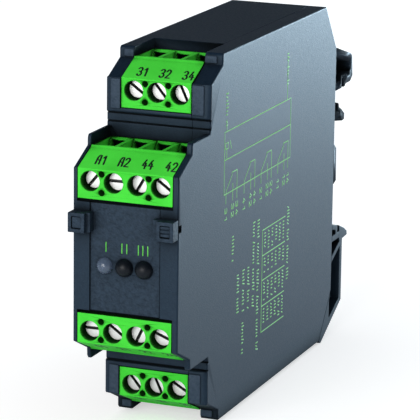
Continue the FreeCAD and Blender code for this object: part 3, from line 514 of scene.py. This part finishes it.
# the nickel's shade setting paints shade into its slots
nickel = metal("brightNickel", (0.95, 0.94, 0.92), (0.98, 0.97, 0.95), (0.36, 0.46), 0.05, (1.0, 1.0, 6.0),
               2600.0, metallic=0.6, shade=1.7)
cageSteel = metal("cageSteel", (0.46, 0.46, 0.45), (0.60, 0.60, 0.58), (0.28, 0.42), 0.3, (1.0, 1.0, 8.0),
                  2000.0)
barCopper = metal("tinnedBar", (0.60, 0.52, 0.38), (0.74, 0.66, 0.50), (0.25, 0.4), 0.25, (6.0, 1.0, 1.0),
                  1800.0)
windingCopper = metal("enamelledWire", (0.46, 0.14, 0.05), (0.62, 0.24, 0.09), (0.25, 0.35), 0.2,
                      (1.0, 12.0, 1.0), 900.0, metallic=0.9, coat=0.4)
softIron = metal("softIron", (0.38, 0.38, 0.38), (0.52, 0.52, 0.51), (0.3, 0.45), 0.35, (8.0, 1.0, 1.0), 1500.0)
canSleeve = metal("canSleeve", (0.20, 0.22, 0.30), (0.26, 0.28, 0.38), (0.3, 0.4), 0.1, (1.0, 5.0, 1.0), 900.0,
                  metallic=0.2)

boardLook = {"shader": {"Coat Weight": 0.4, "Coat Roughness": 0.12}, "weave": 900.0, "warp": 0.6,
             "tracks": 240.0, "trackWidth": 0.06, "dark": (0.016, 0.095, 0.035),
             "light": (0.020, 0.115, 0.042), "track": (0.05, 0.24, 0.08), "roughness": (0.32, 0.4),
             "relief": 0.4, "depth": 0.03}
board = boardMaterial("laminateBoard", boardLook)
clearLens = clearMaterial("clearLens", (0.13, 0.18, 0.27), 0.5, (0.06, 0.12))
clearCase = clearMaterial("clearCase", (0.80, 0.82, 0.84), 0.9, (0.10, 0.16))
print("materials made:", len(bpy.data.materials))

# Terminal tiers, of which side is 1 above mid-height and -1 below, with their clamps and the blocks'
# side outline; then the finish of the CAD nodes that keep their own meshes
tiers = {
    "upper_rear": {"poles": 3, "middle": -0.27, "front": 16.0, "base": 27.1, "side": 1},
    "upper_front": {"poles": 4, "middle": -0.155, "front": 0.0, "base": 11.7, "side": 1},
    "lower_front": {"poles": 4, "middle": -0.155, "front": 0.0, "base": 11.7, "side": -1},
    "lower_rear": {"poles": 3, "middle": -0.27, "front": 16.0, "base": 27.1, "side": -1},
}
clamp = {"pitch": 5.0, "boreHeight": 3.6, "headRecess": 2.3, "headRadius": 1.9, "headDepth": 1.6, "rim": 0.14,
         "backRim": 0.15, "slotWidth": 0.54, "slotDepth": 0.95, "slotRim": 0.049, "shankRadius": 1.40,
         "shankEnd": 7.3, "threadStep": 0.25, "threadDepth": 0.22, "threadEnds": (0.2, 0.3),
         "tip": ((0.25, 0.05), (0.45, 0.0)), "axis": 0.0005, "arcPoints": 40, "sides": 48, "crease": 30}
slotAngles = {"upper_rear": (-35, -50, -65), "upper_front": (50, 0, 60, -35),
              "lower_front": (0, -35, 65, -20), "lower_rear": (-50, -65, -30)}
blockShape = {"face": 6.15, "run": 6.2, "slantTop": 8.9, "frame": 6.7, "height": 9.4, "depth": 16.2,
              "front": (-10.3, 9.95), "rear": (-7.95, 7.25)}
nodeFinish = {
    "indicator_lamp": lampPlastic, "front_board": board, "main_board": board, "rectifier": blackPart,
    "smoothing_capacitor": canSleeve, "relay_base": blackPart, "relay_case": clearCase,
    "coil_bobbin": whitePart, "coil_core": softIron, "yoke": softIron, "armature": softIron,
    "contact_card": cardPlastic, "contact_leaves": barCopper, "fixed_contacts": barCopper,
    "coil_winding": windingCopper, "light_guide": clearLens, "blank_dome_middle": domePlastic,
    "blank_dome_right": domePlastic, "foot_spring": cageSteel,
}
for tier, row in tiers.items():
    nodeFinish[tier + "_bars"] = barCopper
    for number in range(1, row["poles"] + 1):
        nodeFinish[tier + "_cage_" + str(number)] = cageSteel
for node, material in nodeFinish.items():
    mesh = frame["nodes"][node].data
    mesh.materials.clear()
    mesh.materials.append(material)


def poleMiddle(row, index):
    # where a pole stands across the width, counted from 0 at the left
    return row["middle"] + (index - (row["poles"] - 1) / 2) * clamp["pitch"]


# Mouldings: the CAD forms with rounded edges. The half of the side outline above mid-height is mirrored.
upperOutline = [(0, 17.8), (6.7, 21.0), (6.8, 22.6), (7.2, 23.2), (16.5, 23.2), (16.5, 25.8), (16.0, 26.3),
                (16.0, 33.15), (16.9, 33.25), (22.8, 36.1), (22.8, 37.95), (23.25, 38.4), (86.0, 38.4),
                (93.6, 28.0)]
sideOutline = upperOutline + [(y, -z) for y, z in reversed(upperOutline)]
mouldings = {"halfWidth": 11.25, "reach": 10.95, "behind": 93.2, "edge": 0.12, "footEdge": 0.16,
             "blockEdge": 0.10}


def blockPlanes(tier, row):
    # the outer planes of a terminal block: face, slanted label field, top, rear and base
    front, base, side, shape = row["front"], row["base"], row["side"], blockShape
    outline = [(0.0, 0.0), (0.0, shape["face"]), (shape["run"], shape["slantTop"]),
               (shape["frame"], shape["height"]), (shape["depth"], shape["height"]), (shape["depth"], 0.0)]
    return outerPlanes([(front + y, side * (base + z)) for y, z in outline], *shape[tier.split("_")[1]])


def addMouldings():
    shell = outerPlanes(sideOutline, -mouldings["halfWidth"], mouldings["halfWidth"])
    edge, reach = mouldings["edge"], mouldings["reach"]
    housing = roundedNode("housing", "moulded_housing", housingPlastic, shell, edge, reach, mouldings["behind"])
    cover = roundedNode("side_cover", "moulded_side_cover", housingPlastic, shell, edge, reach)
    panel = softenNode("front_panel", "moulded_front_panel", panelPlastic, edge)
    foot = softenNode("din_foot", "moulded_rail_foot", footPlastic, mouldings["footEdge"])
    made = [(piece, "housing_plastic") for piece in (housing, cover, panel)] + [(foot, "foot_plastic")]
    for tier, row in tiers.items():
        block = roundedNode(tier + "_block", tier + "_block_moulding", terminalGreen, blockPlanes(tier, row),
                            mouldings["blockEdge"])
        made.append((block, "terminal_green"))
    print("mouldings softened:", len(made))


addMouldings()

# Finger pads in the two snap lugs: the left one is plain, the right one is ribbed
snapPads = {"low": 6.2, "high": 8.5, "front": -2.66, "rear": -1.72, "round": 0.12, "shrink": 0.6,
            "left": (-10.28, -8.42), "right": (8.46, 10.38), "ribs": 3, "ribFlank": 1.6,
            "ribDepth": {"left": 0.0, "right": 0.16}, "facePoints": 61, "arcPoints": 5, "crease": 60}


def padProfile(ribDepth):
    # the pad's (y, z) outline from its rear foot up over the face, waved like a clipped cosine by the
    # ribs and rounded by a quarter circle at both ends
    low, high, radius, flank = (snapPads[k] for k in ("low", "high", "round", "ribFlank"))
    z = np.linspace(low, high, snapPads["facePoints"])
    wave = np.cos(2 * math.pi * snapPads["ribs"] * (z - low) / (high - low))
    groove = np.clip(flank * wave - (flank - 1), 0, 1)
    rim = radius - np.minimum(radius, np.minimum(z - low, high - z))
    y = snapPads["front"] + groove * ribDepth + radius - np.sqrt(np.maximum(radius ** 2 - rim ** 2, 0))
    return np.vstack([[(snapPads["rear"], low)], np.stack([y, z], axis=1), [(snapPads["rear"], high)]])


def addSnapPads():
    # the outline carried across the pad's width, drawn in along a quarter circle at each side
    for side, ribDepth in snapPads["ribDepth"].items():
        x0, x1 = snapPads[side]
        ring = padProfile(ribDepth)
        middle = ring.mean(axis=0)
        turn = np.linspace(0, math.pi / 2, snapPads["arcPoints"])
        inset = snapPads["round"] * (1 - np.sin(turn))
        along = snapPads["round"] * (1 - np.cos(turn))
        x = np.concatenate([x0 + along, x1 - along[::-1]])
        shrink = 1 - snapPads["shrink"] * np.concatenate([inset, inset[::-1]])
        rings = middle + (ring - middle)[None] * shrink[:, None, None]
        points = np.concatenate([np.broadcast_to(x[:, None, None], rings.shape[:2] + (1,)), rings], axis=-1)
        newPiece("snap_pad_" + side, place(points.reshape(-1, 3)), closedGrid(*points.shape[:2]), panelPlastic,
                 "module", snapPads["crease"])


addSnapPads()

# Flat raised fields on the ears of the set-back tiers, beside the green blocks. A row is the lower and
# upper end of a field, away from mid-height, and the ear's front there.
earPads = {"left": (-10.15, -8.1), "right": (7.4, 9.95), "rows": ((26.85, 32.95, 16.0), (36.3, 37.8, 22.8)),
           "raise": 0.22, "root": 0.04, "corner": 0.25, "edge": 0.12, "arcPoints": 5, "crease": 60}


def roundedRectangle(x0, x1, z0, z1, corner):
    # four quarter circles round the corners, from the upper right one on
    turn = np.linspace(0, math.pi / 2, earPads["arcPoints"] + 1)
    x, z = [], []
    for quarter, cx, cz in ((0, x1 - corner, z1 - corner), (1, x0 + corner, z1 - corner),
                            (2, x0 + corner, z0 + corner), (3, x1 - corner, z0 + corner)):
        angle = turn + quarter * math.pi / 2
        x.append(cx + corner * np.cos(angle))
        z.append(cz + corner * np.sin(angle))
    return np.concatenate(x), np.concatenate(z)


def addEarPads():
    # each field is a stack of rounded rectangles, drawn in along a quarter circle at its front edge
    turn = np.linspace(0, math.pi / 2, earPads["arcPoints"])
    insets = np.concatenate([[0.0], earPads["edge"] * (1 - np.cos(turn))])
    rises = np.concatenate([[earPads["root"]], earPads["edge"] * (1 - np.sin(turn)) - earPads["raise"]])
    for tier, side in (("upper", 1), ("lower", -1)):
        for hand in ("left", "right"):
            x0, x1 = earPads[hand]
            points, faces = [], []
            for low, high, earFront in earPads["rows"]:
                z0, z1 = sorted((side * low, side * high))
                base = sum(len(p) for p in points)
                for inset, rise in zip(insets, rises):
                    x, z = roundedRectangle(x0 + inset, x1 - inset, z0 + inset, z1 - inset,
                                            earPads["corner"] - inset)
                    points.append(np.stack([x, np.full(len(x), earFront + rise), z], axis=1))
                faces += closedGrid(len(insets), len(points[0]), base)
            newPiece("ear_pad_" + tier + "_" + hand, place(np.vstack(points)), faces, earPlastic, "module",
                     earPads["crease"])


addEarPads()
print("finger pads and ear fields set")


def screwHead(x, z, faceY, angle):
    # The face's two halves: each is a circle segment beside the slot, raised from the slot's floor to
    # the face with a chamfered rim, and turned by the slot's angle.
    radius, rim, halfSlot = clamp["headRadius"], clamp["rim"], clamp["slotWidth"] / 2
    start = math.asin(halfSlot / radius)
    arc = np.linspace(start, math.pi - start, clamp["arcPoints"])
    edge = np.stack([radius * np.cos(arc), radius * np.sin(arc)], axis=1)
    top = edge * (radius - rim) / radius
    top[0, 1] = top[-1, 1] = halfSlot + clamp["slotRim"]
    rings = [(edge, faceY + clamp["slotDepth"]), (edge, faceY + rim), (top, faceY)]
    cos, sin = math.cos(math.radians(angle)), math.sin(math.radians(angle))
    points, faces = [], []
    for flip in (1, -1):
        faces += closedGrid(len(rings), len(arc), len(points) * len(arc))
        for outline, y in rings:
            u, v = outline.T * flip
            across, upward = x + u * cos - v * sin, z + u * sin + v * cos
            points.append(np.stack([across, np.full(len(arc), y), upward], axis=1))
    return np.vstack(points), faces


def screwProfile(faceY, tipY):
    # (radius, y) from the slot's floor round the head and down the threaded shank, a saw of crests
    radius, shank, axis = clamp["headRadius"], clamp["shankRadius"], clamp["axis"]
    floorY, backY = faceY + clamp["slotDepth"], faceY + clamp["headDepth"]
    head = [(axis, floorY), (radius, floorY), (radius, backY - clamp["backRim"]),
            (radius - clamp["backRim"], backY), (shank, backY)]
    threads = np.arange(backY + clamp["threadEnds"][0], tipY - clamp["threadEnds"][1], clamp["threadStep"])
    crests = np.where(np.arange(len(threads)) % 2 == 0, shank - clamp["threadDepth"], shank)
    tip = [(shank - inset, tipY - before) for inset, before in clamp["tip"]]
    return np.array([*head, *zip(crests, threads), *tip, (axis, tipY)])


def turnedSurface(profile, x, z, turns, base):
    # (radius, y) points turned about the axis along y through (x, z): radius times cosine and sine
    angle = np.linspace(0, 2 * math.pi, turns, endpoint=False)
    radius, y = profile[:, :1], np.repeat(profile[:, 1:], turns, axis=1)
    points = np.stack([x + radius * np.cos(angle), y, z + radius * np.sin(angle)], axis=-1)
    return points.reshape(-1, 3), closedGrid(len(profile), turns, base)


def addScrews():
    # a slotted head over a turned shank in the place of each CAD screw
    for tier, row in tiers.items():
        faceY, tipY = row["front"] + clamp["headRecess"], row["front"] + clamp["shankEnd"]
        z = row["side"] * (row["base"] + clamp["boreHeight"])
        for index in range(row["poles"]):
            x = poleMiddle(row, index)
            node = tier + "_screw_" + str(index + 1)
            head, headFaces = screwHead(x, z, faceY, slotAngles[tier][index])
            shank, shankFaces = turnedSurface(screwProfile(faceY, tipY), x, z, clamp["sides"], len(head))
            piece = newPiece(node + "_turned", place(np.vstack([head, shank])), headFaces + shankFaces, nickel,
                             node, clamp["crease"])
            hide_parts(node)


addScrews()
print("screws made")

# Compression spring of the rail foot: a round wire with a closed turn at each end, where it climbs by
# closedPitch wire diameters a turn
spring = {"wire": 0.225, "turns": 9, "closed": 1.0, "closedPitch": 1.05, "perTurn": 40, "sides": 12,
          "travel": 3.0}


def addSpring():
    # a circle carried along a helix, whose height climbs slowly in the closed turns and evenly between
    low, high = (np.array(corner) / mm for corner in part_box("foot_spring"))
    middle = (low + high) / 2
    wire, turns, closed = spring["wire"], spring["turns"], spring["closed"]
    radius = (high[0] - low[0]) / 2 - wire
    lowest, highest = low[2] + wire, high[2] - wire
    turn = np.linspace(0, turns, turns * spring["perTurn"] + 1)
    free = turns - 2 * closed
    climb = 2 * wire * spring["closedPitch"]
    slow = climb * np.minimum(turn, closed) + climb * np.maximum(turn - turns + closed, 0)
    even = np.clip(turn - closed, 0, free) / free * (highest - lowest - 2 * climb * closed)
    angle = 2 * math.pi * turn
    outward = np.stack([np.cos(angle), np.sin(angle), np.zeros(len(angle))], axis=1)
    spine = radius * outward + np.array([middle[0], middle[1], lowest])
    spine[:, 2] += slow + even
    along = np.gradient(spine, axis=0)
    along /= np.linalg.norm(along, axis=1)[:, None]
    upward = np.cross(along, outward)
    upward /= np.linalg.norm(upward, axis=1)[:, None]
    ring = np.linspace(0, 2 * math.pi, spring["sides"], endpoint=False)[None, :, None]
    points = spine[:, None] + wire * (np.cos(ring) * outward[:, None] + np.sin(ring) * upward[:, None])
    coil = newPiece("foot_spring_wire", points.reshape(-1, 3) * mm, closedGrid(*points.shape[:2]), cageSteel,
                    "module")
    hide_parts("foot_spring")
    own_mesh(coil)


addSpring()
print("spring wound")

# Terminal numbers on the slanted faces of the blocks. Along and shift say how far up the slant and how
# far to the right of its screw a number's middle stands.
labels = {
    "upper_rear": ("31", "32", "34"), "upper_front": ("A1", "A2", "44", "42"),
    "lower_front": ("41", "21", "22", "24"), "lower_rear": ("11", "12", "14"),
}
numbers = {"height": 2.85, "narrow": 0.53, "pen": 0.40, "lean": -0.14,
           "along": {"front": 0.46, "rear": 0.37}, "shift": {"front": 1.15, "rear": 0.95}}


def addTerminalNumbers():
    # one piece for each block, its words laid on the plane of the slant
    for tier, row in tiers.items():
        side, front, base, depth = row["side"], row["front"], row["base"], tier.split("_")[1]
        low = np.array([0.0, front, side * (base + blockShape["face"])])
        high = np.array([0.0, front + blockShape["run"], side * (base + blockShape["slantTop"])])
        strokes = []
        for index, word in enumerate(labels[tier]):
            spot = np.array([poleMiddle(row, index) + numbers["shift"][depth], 0.0])
            paths = wordPaths(word, numbers["height"], numbers["lean"], numbers["narrow"])
            strokes += [(path + spot, numbers["pen"]) for path in paths]
        origin = low + (high - low) * numbers["along"][depth]
        printedPiece(tier + "_numbers", strokes, (origin, (1, 0, 0), (high - low) * side), blackInk)


addTerminalNumbers()

# Roman marks over the three indicator places
marks = {"height": 1.9, "pen": 0.25, "z": 2.27, "y": 0.3, "across": (-4.25, -0.84, 0.20, 2.66, 3.62, 4.66)}


def addPanelMarks():
    half = marks["height"] / 2
    strokes = [([(x, -half), (x, half)], marks["pen"]) for x in marks["across"]]
    printedPiece("panel_marks", strokes, ((0, marks["y"], marks["z"]), (1, 0, 0), (0, 0, 1)), greenPrint)


addPanelMarks()

# Print on the cover, in (y, z): a wiring frame with its coil and four changeover symbols, a ruled table,
# and rows of small ticks. A lead is its y and lower end, a column its y, upper and lower end.
sidePrint = {"x": 11.25, "pen": 0.25, "rails": (22.0, 16.2, 9.0), "railEnds": (24.4, 63.7),
             "leads": ((25.5, 24.4), (61.4, 31.5)),
             "coil": (((24.9, 19.6), (26.4, 19.6), (26.4, 18.4), (24.9, 18.4), (24.9, 19.6)),
                      ((25.6, 18.4), (25.6, 16.4)), ((27.4, 19.8), (28.3, 18.0))),
             "columns": ((25.6, 29.8, 23.0), (30.0, -0.9, -6.2), (33.2, -9.9, -18.4), (36.4, -9.6, -19.0),
                         (36.4, -21.0, -27.6), (39.4, -9.7, -18.6), (42.3, -0.7, -19.1), (45.0, -0.8, -29.6),
                         (61.6, 32.0, 25.0), (63.4, -2.0, -18.0)), "columnTall": 1.15, "columnSeed": 3}
symbol = {"at": (25.5, 35.9, 45.9, 56.1), "make": ((3.8, 7.0), (3.8, 10.5)), "terminals": (0.0, 3.8, 6.2),
          "break": ((0.0, 7.0), (0.0, 9.6), (3.3, 12.3), (3.3, 12.9), (6.2, 12.9), (6.2, 7.0)),
          "words": (("31", "32", "34"), ("41", "42", "44"), ("21", "22", "24"), ("11", "12", "14")),
          "wordZ": 4.8, "wordHeight": 1.3, "wordStretch": 1.5}
table = {"front": 47.5, "rear": 61.5, "rules": (-3.6, -9.2, -14.6, -20.3, -26.0), "inset": (1.6, 0.8),
         "pitch": 2.3, "margin": 0.9, "tall": 0.95, "seed": 40, "seedStep": 7}
ticks = {"pen": 0.30, "pitch": 0.72, "gap": 0.75, "group": (3, 8), "tallShare": 0.35, "short": 0.68,
         "leaningShare": 0.3, "lean": 0.16}


def tickRow(y, high, low, tall, seed):
    # short strokes across a column that runs down in z, grouped like words, of two heights
    draw = np.random.default_rng(seed)
    strokes, z = [], high
    while z > low:
        for _ in range(draw.integers(*ticks["group"])):
            if z <= low:
                break
            size = tall if draw.random() < ticks["tallShare"] else tall * ticks["short"]
            lean = ticks["lean"] if draw.random() < ticks["leaningShare"] else 0.0
            strokes.append(([(y - tall / 2, z + lean), (y - tall / 2 + size, z - lean)], ticks["pen"]))
            z -= ticks["pitch"]
        z -= ticks["gap"]
    return strokes


def turnedWord(word, y, z):
    # a number that reads downwards, its middle at (y, z)
    paths = wordPaths(word, symbol["wordHeight"], 0.0, symbol["wordStretch"])
    return [np.stack([y + p[:, 1], z - p[:, 0]], axis=1) for p in paths]


def addSidePrint():
    rails, ends, rules = sidePrint["rails"], sidePrint["railEnds"], table["rules"]
    lines = [[(ends[0], z), (ends[1], z)] for z in rails]
    lines += [[(y, rails[0]), (y, rails[-1])] for y in ends]
    lines += [[(y, rails[0]), (y, end)] for y, end in sidePrint["leads"]]
    lines += sidePrint["coil"]
    for y, words in zip(symbol["at"], symbol["words"]):
        lines += [[(y + dy, z) for dy, z in symbol[part]] for part in ("break", "make")]
        for word, dy in zip(words, symbol["terminals"]):
            lines += turnedWord(word, y + dy, symbol["wordZ"])
    lines += [[(table["front"], z), (table["rear"], z)] for z in rules]
    lines.append([(table["front"], rules[0]), (table["front"], rules[-1])])
    strokes = [(line, sidePrint["pen"]) for line in lines]
    for index, (y, high, low) in enumerate(sidePrint["columns"]):
        strokes += tickRow(y, high, low, sidePrint["columnTall"], sidePrint["columnSeed"] + index)
    first, last = table["front"] + table["inset"][0], table["rear"] - table["inset"][1]
    for index, (high, low) in enumerate(zip(rules, rules[1:])):
        seed = table["seed"] + table["seedStep"] * index
        for step, y in enumerate(np.arange(first, last, table["pitch"])):
            strokes += tickRow(y, high - table["margin"], low + table["margin"], table["tall"], seed + step)
    printedPiece("side_print", strokes, ((sidePrint["x"], 0, 0), (0, 1, 0), (0, 0, 1)), paleGreenPrint)
    print("side print strokes:", len(strokes))


addSidePrint()
print("numbers and marks printed")

# Floor, light and camera. The floor glows for the camera by floorGlow and for reflections by floorGloss,
# and sky tints what reflections see.
studio = {"floorZ": -39.25, "floorHalf": 3000.0, "floorColour": 0.80, "floorGlow": 0.54, "floorGloss": 0.20,
          "fill": 0.48, "sky": (0.50, 0.74, 1.0), "horizon": 0.80, "zenith": 0.08, "fade": (0.0, 0.18),
          "tintFade": (0.05, 0.2)}
lamps = {"keyFront": {"at": (-90, -620, 160), "towards": (0, 20, 0), "size": (460, 320), "power": 2.85,
                      "colour": (1.0, 1.0, 1.0)},
         "rimRight": {"at": (250, 650, 38), "towards": (10, 50, -10), "size": (460, 150), "power": 4.0,
                      "colour": (0.66, 0.86, 1.0)}}
cameraFit = {"azimuth": 21.263, "elevation": 13.665, "roll": 0.795, "distance": 584.918,
             "target": (-1.713, 50.0, -1.004), "focalPixels": 2739.171, "picturePixels": 420.0, "sensor": 36.0,
             "clip": (0.01, 20.0)}


def seenDirectly(tree, path):
    # 1 where the camera or clear plastic sees the surface
    return calc(tree, "MAXIMUM", path["Is Camera Ray"], path["Is Transmission Ray"])


def stageMaterial():
    # pale floor: white to the camera and dim in reflections, with the object's shadow kept in it
    material, tree, shader, _ = startMaterial("paleFloor", {
        "Base Color": (*(studio["floorColour"],) * 3, 1.0), "Roughness": 0.9, "Specular IOR Level": 0.0})
    path = addNode(tree, "ShaderNodeLightPath").outputs
    direct = calc(tree, "MULTIPLY", seenDirectly(tree, path), studio["floorGlow"])
    mirrored = calc(tree, "MULTIPLY", path["Is Glossy Ray"], studio["floorGloss"])
    tint = blendColours(tree, path["Is Glossy Ray"], (1, 1, 1), studio["sky"])
    tree.links.new(tint, shader.inputs["Emission Color"])
    tree.links.new(calc(tree, "ADD", direct, mirrored), shader.inputs["Emission Strength"])
    return material


def addFloor():
    half, z = studio["floorHalf"], studio["floorZ"]
    corners = place([(-half, -half, z), (half, -half, z), (half, half, z), (-half, half, z)])
    mesh = bpy.data.meshes.new("floor")
    mesh.from_pydata(corners.tolist(), [], [(0, 1, 2, 3)])
    mesh.materials.append(stageMaterial())
    floor = bpy.data.objects.new("floor", mesh)
    bpy.context.scene.collection.objects.link(floor)


def addWorld():
    # even soft light for the object, white where the camera or clear plastic sees it; in reflections it
    # is pale near the horizon and fades upwards to a dim blue
    world = bpy.data.worlds.new("studio")
    world.use_nodes = True
    tree = world.node_tree
    background = tree.nodes["Background"]
    coords = tree.nodes.new("ShaderNodeTexCoord")
    height = addNode(tree, "ShaderNodeSeparateXYZ", [("Vector", coords.outputs["Generated"])]).outputs["Z"]
    path = addNode(tree, "ShaderNodeLightPath").outputs
    reflected = spread(tree, height, studio["horizon"], studio["zenith"], studio["fade"],
                       interpolation_type="SMOOTHSTEP")
    indirect = blendValues(tree, path["Is Glossy Ray"], studio["fill"], reflected)
    tree.links.new(blendValues(tree, seenDirectly(tree, path), indirect, 1.0), background.inputs["Strength"])
    bluish = calc(tree, "MULTIPLY", spread(tree, height, window=studio["tintFade"]), path["Is Glossy Ray"])
    tree.links.new(blendColours(tree, bluish, (1, 1, 1), studio["sky"]), background.inputs["Color"])
    bpy.context.scene.world = world


def addLight(name, lamp):
    # a soft rectangle whose own z axis points away from what it lights
    data = bpy.data.lights.new(name, "AREA")
    data.shape = "RECTANGLE"
    data.size, data.size_y = lamp["size"][0] * mm, lamp["size"][1] * mm
    data.energy = lamp["power"]
    data.color = lamp["colour"]
    light = bpy.data.objects.new(name, data)
    bpy.context.scene.collection.objects.link(light)
    start, end = place(lamp["at"]), place(lamp["towards"])
    back = (start - end) / np.linalg.norm(start - end)
    right = np.cross((0, 0, 1), back)
    right /= np.linalg.norm(right)
    aim = Matrix((right, np.cross(back, right), back)).transposed()
    light.matrix_world = Matrix.Translation(start) @ aim.to_4x4()


def addCamera():
    # the fitted camera: its turn about the target, its roll, and its focal length from the picture's
    azimuth, elevation, roll = (math.radians(cameraFit[k]) for k in ("azimuth", "elevation", "roll"))
    back = np.array([math.sin(azimuth) * math.cos(elevation), -math.cos(azimuth) * math.cos(elevation),
                     math.sin(elevation)])
    right = np.array([math.cos(azimuth), math.sin(azimuth), 0.0])
    up = np.cross(back, right)
    tiltedRight = math.cos(roll) * right + math.sin(roll) * up
    tiltedUp = -math.sin(roll) * right + math.cos(roll) * up
    lens = bpy.data.cameras.new("photoCamera")
    lens.sensor_width = cameraFit["sensor"]
    lens.lens = cameraFit["focalPixels"] * cameraFit["sensor"] / cameraFit["picturePixels"]
    lens.clip_start, lens.clip_end = cameraFit["clip"]
    camera = bpy.data.objects.new("photoCamera", lens)
    bpy.context.scene.collection.objects.link(camera)
    spot = place(np.array(cameraFit["target"]) + back * cameraFit["distance"])
    aim = Matrix((tiltedRight, tiltedUp, back)).transposed()
    camera.matrix_world = Matrix.Translation(spot) @ aim.to_4x4()
    bpy.context.scene.camera = camera


addFloor()
addWorld()
for name, lamp in lamps.items():
    addLight(name, lamp)
addCamera()
bpy.context.scene.view_settings.view_transform = "Standard"
print("stage, lights and camera set")
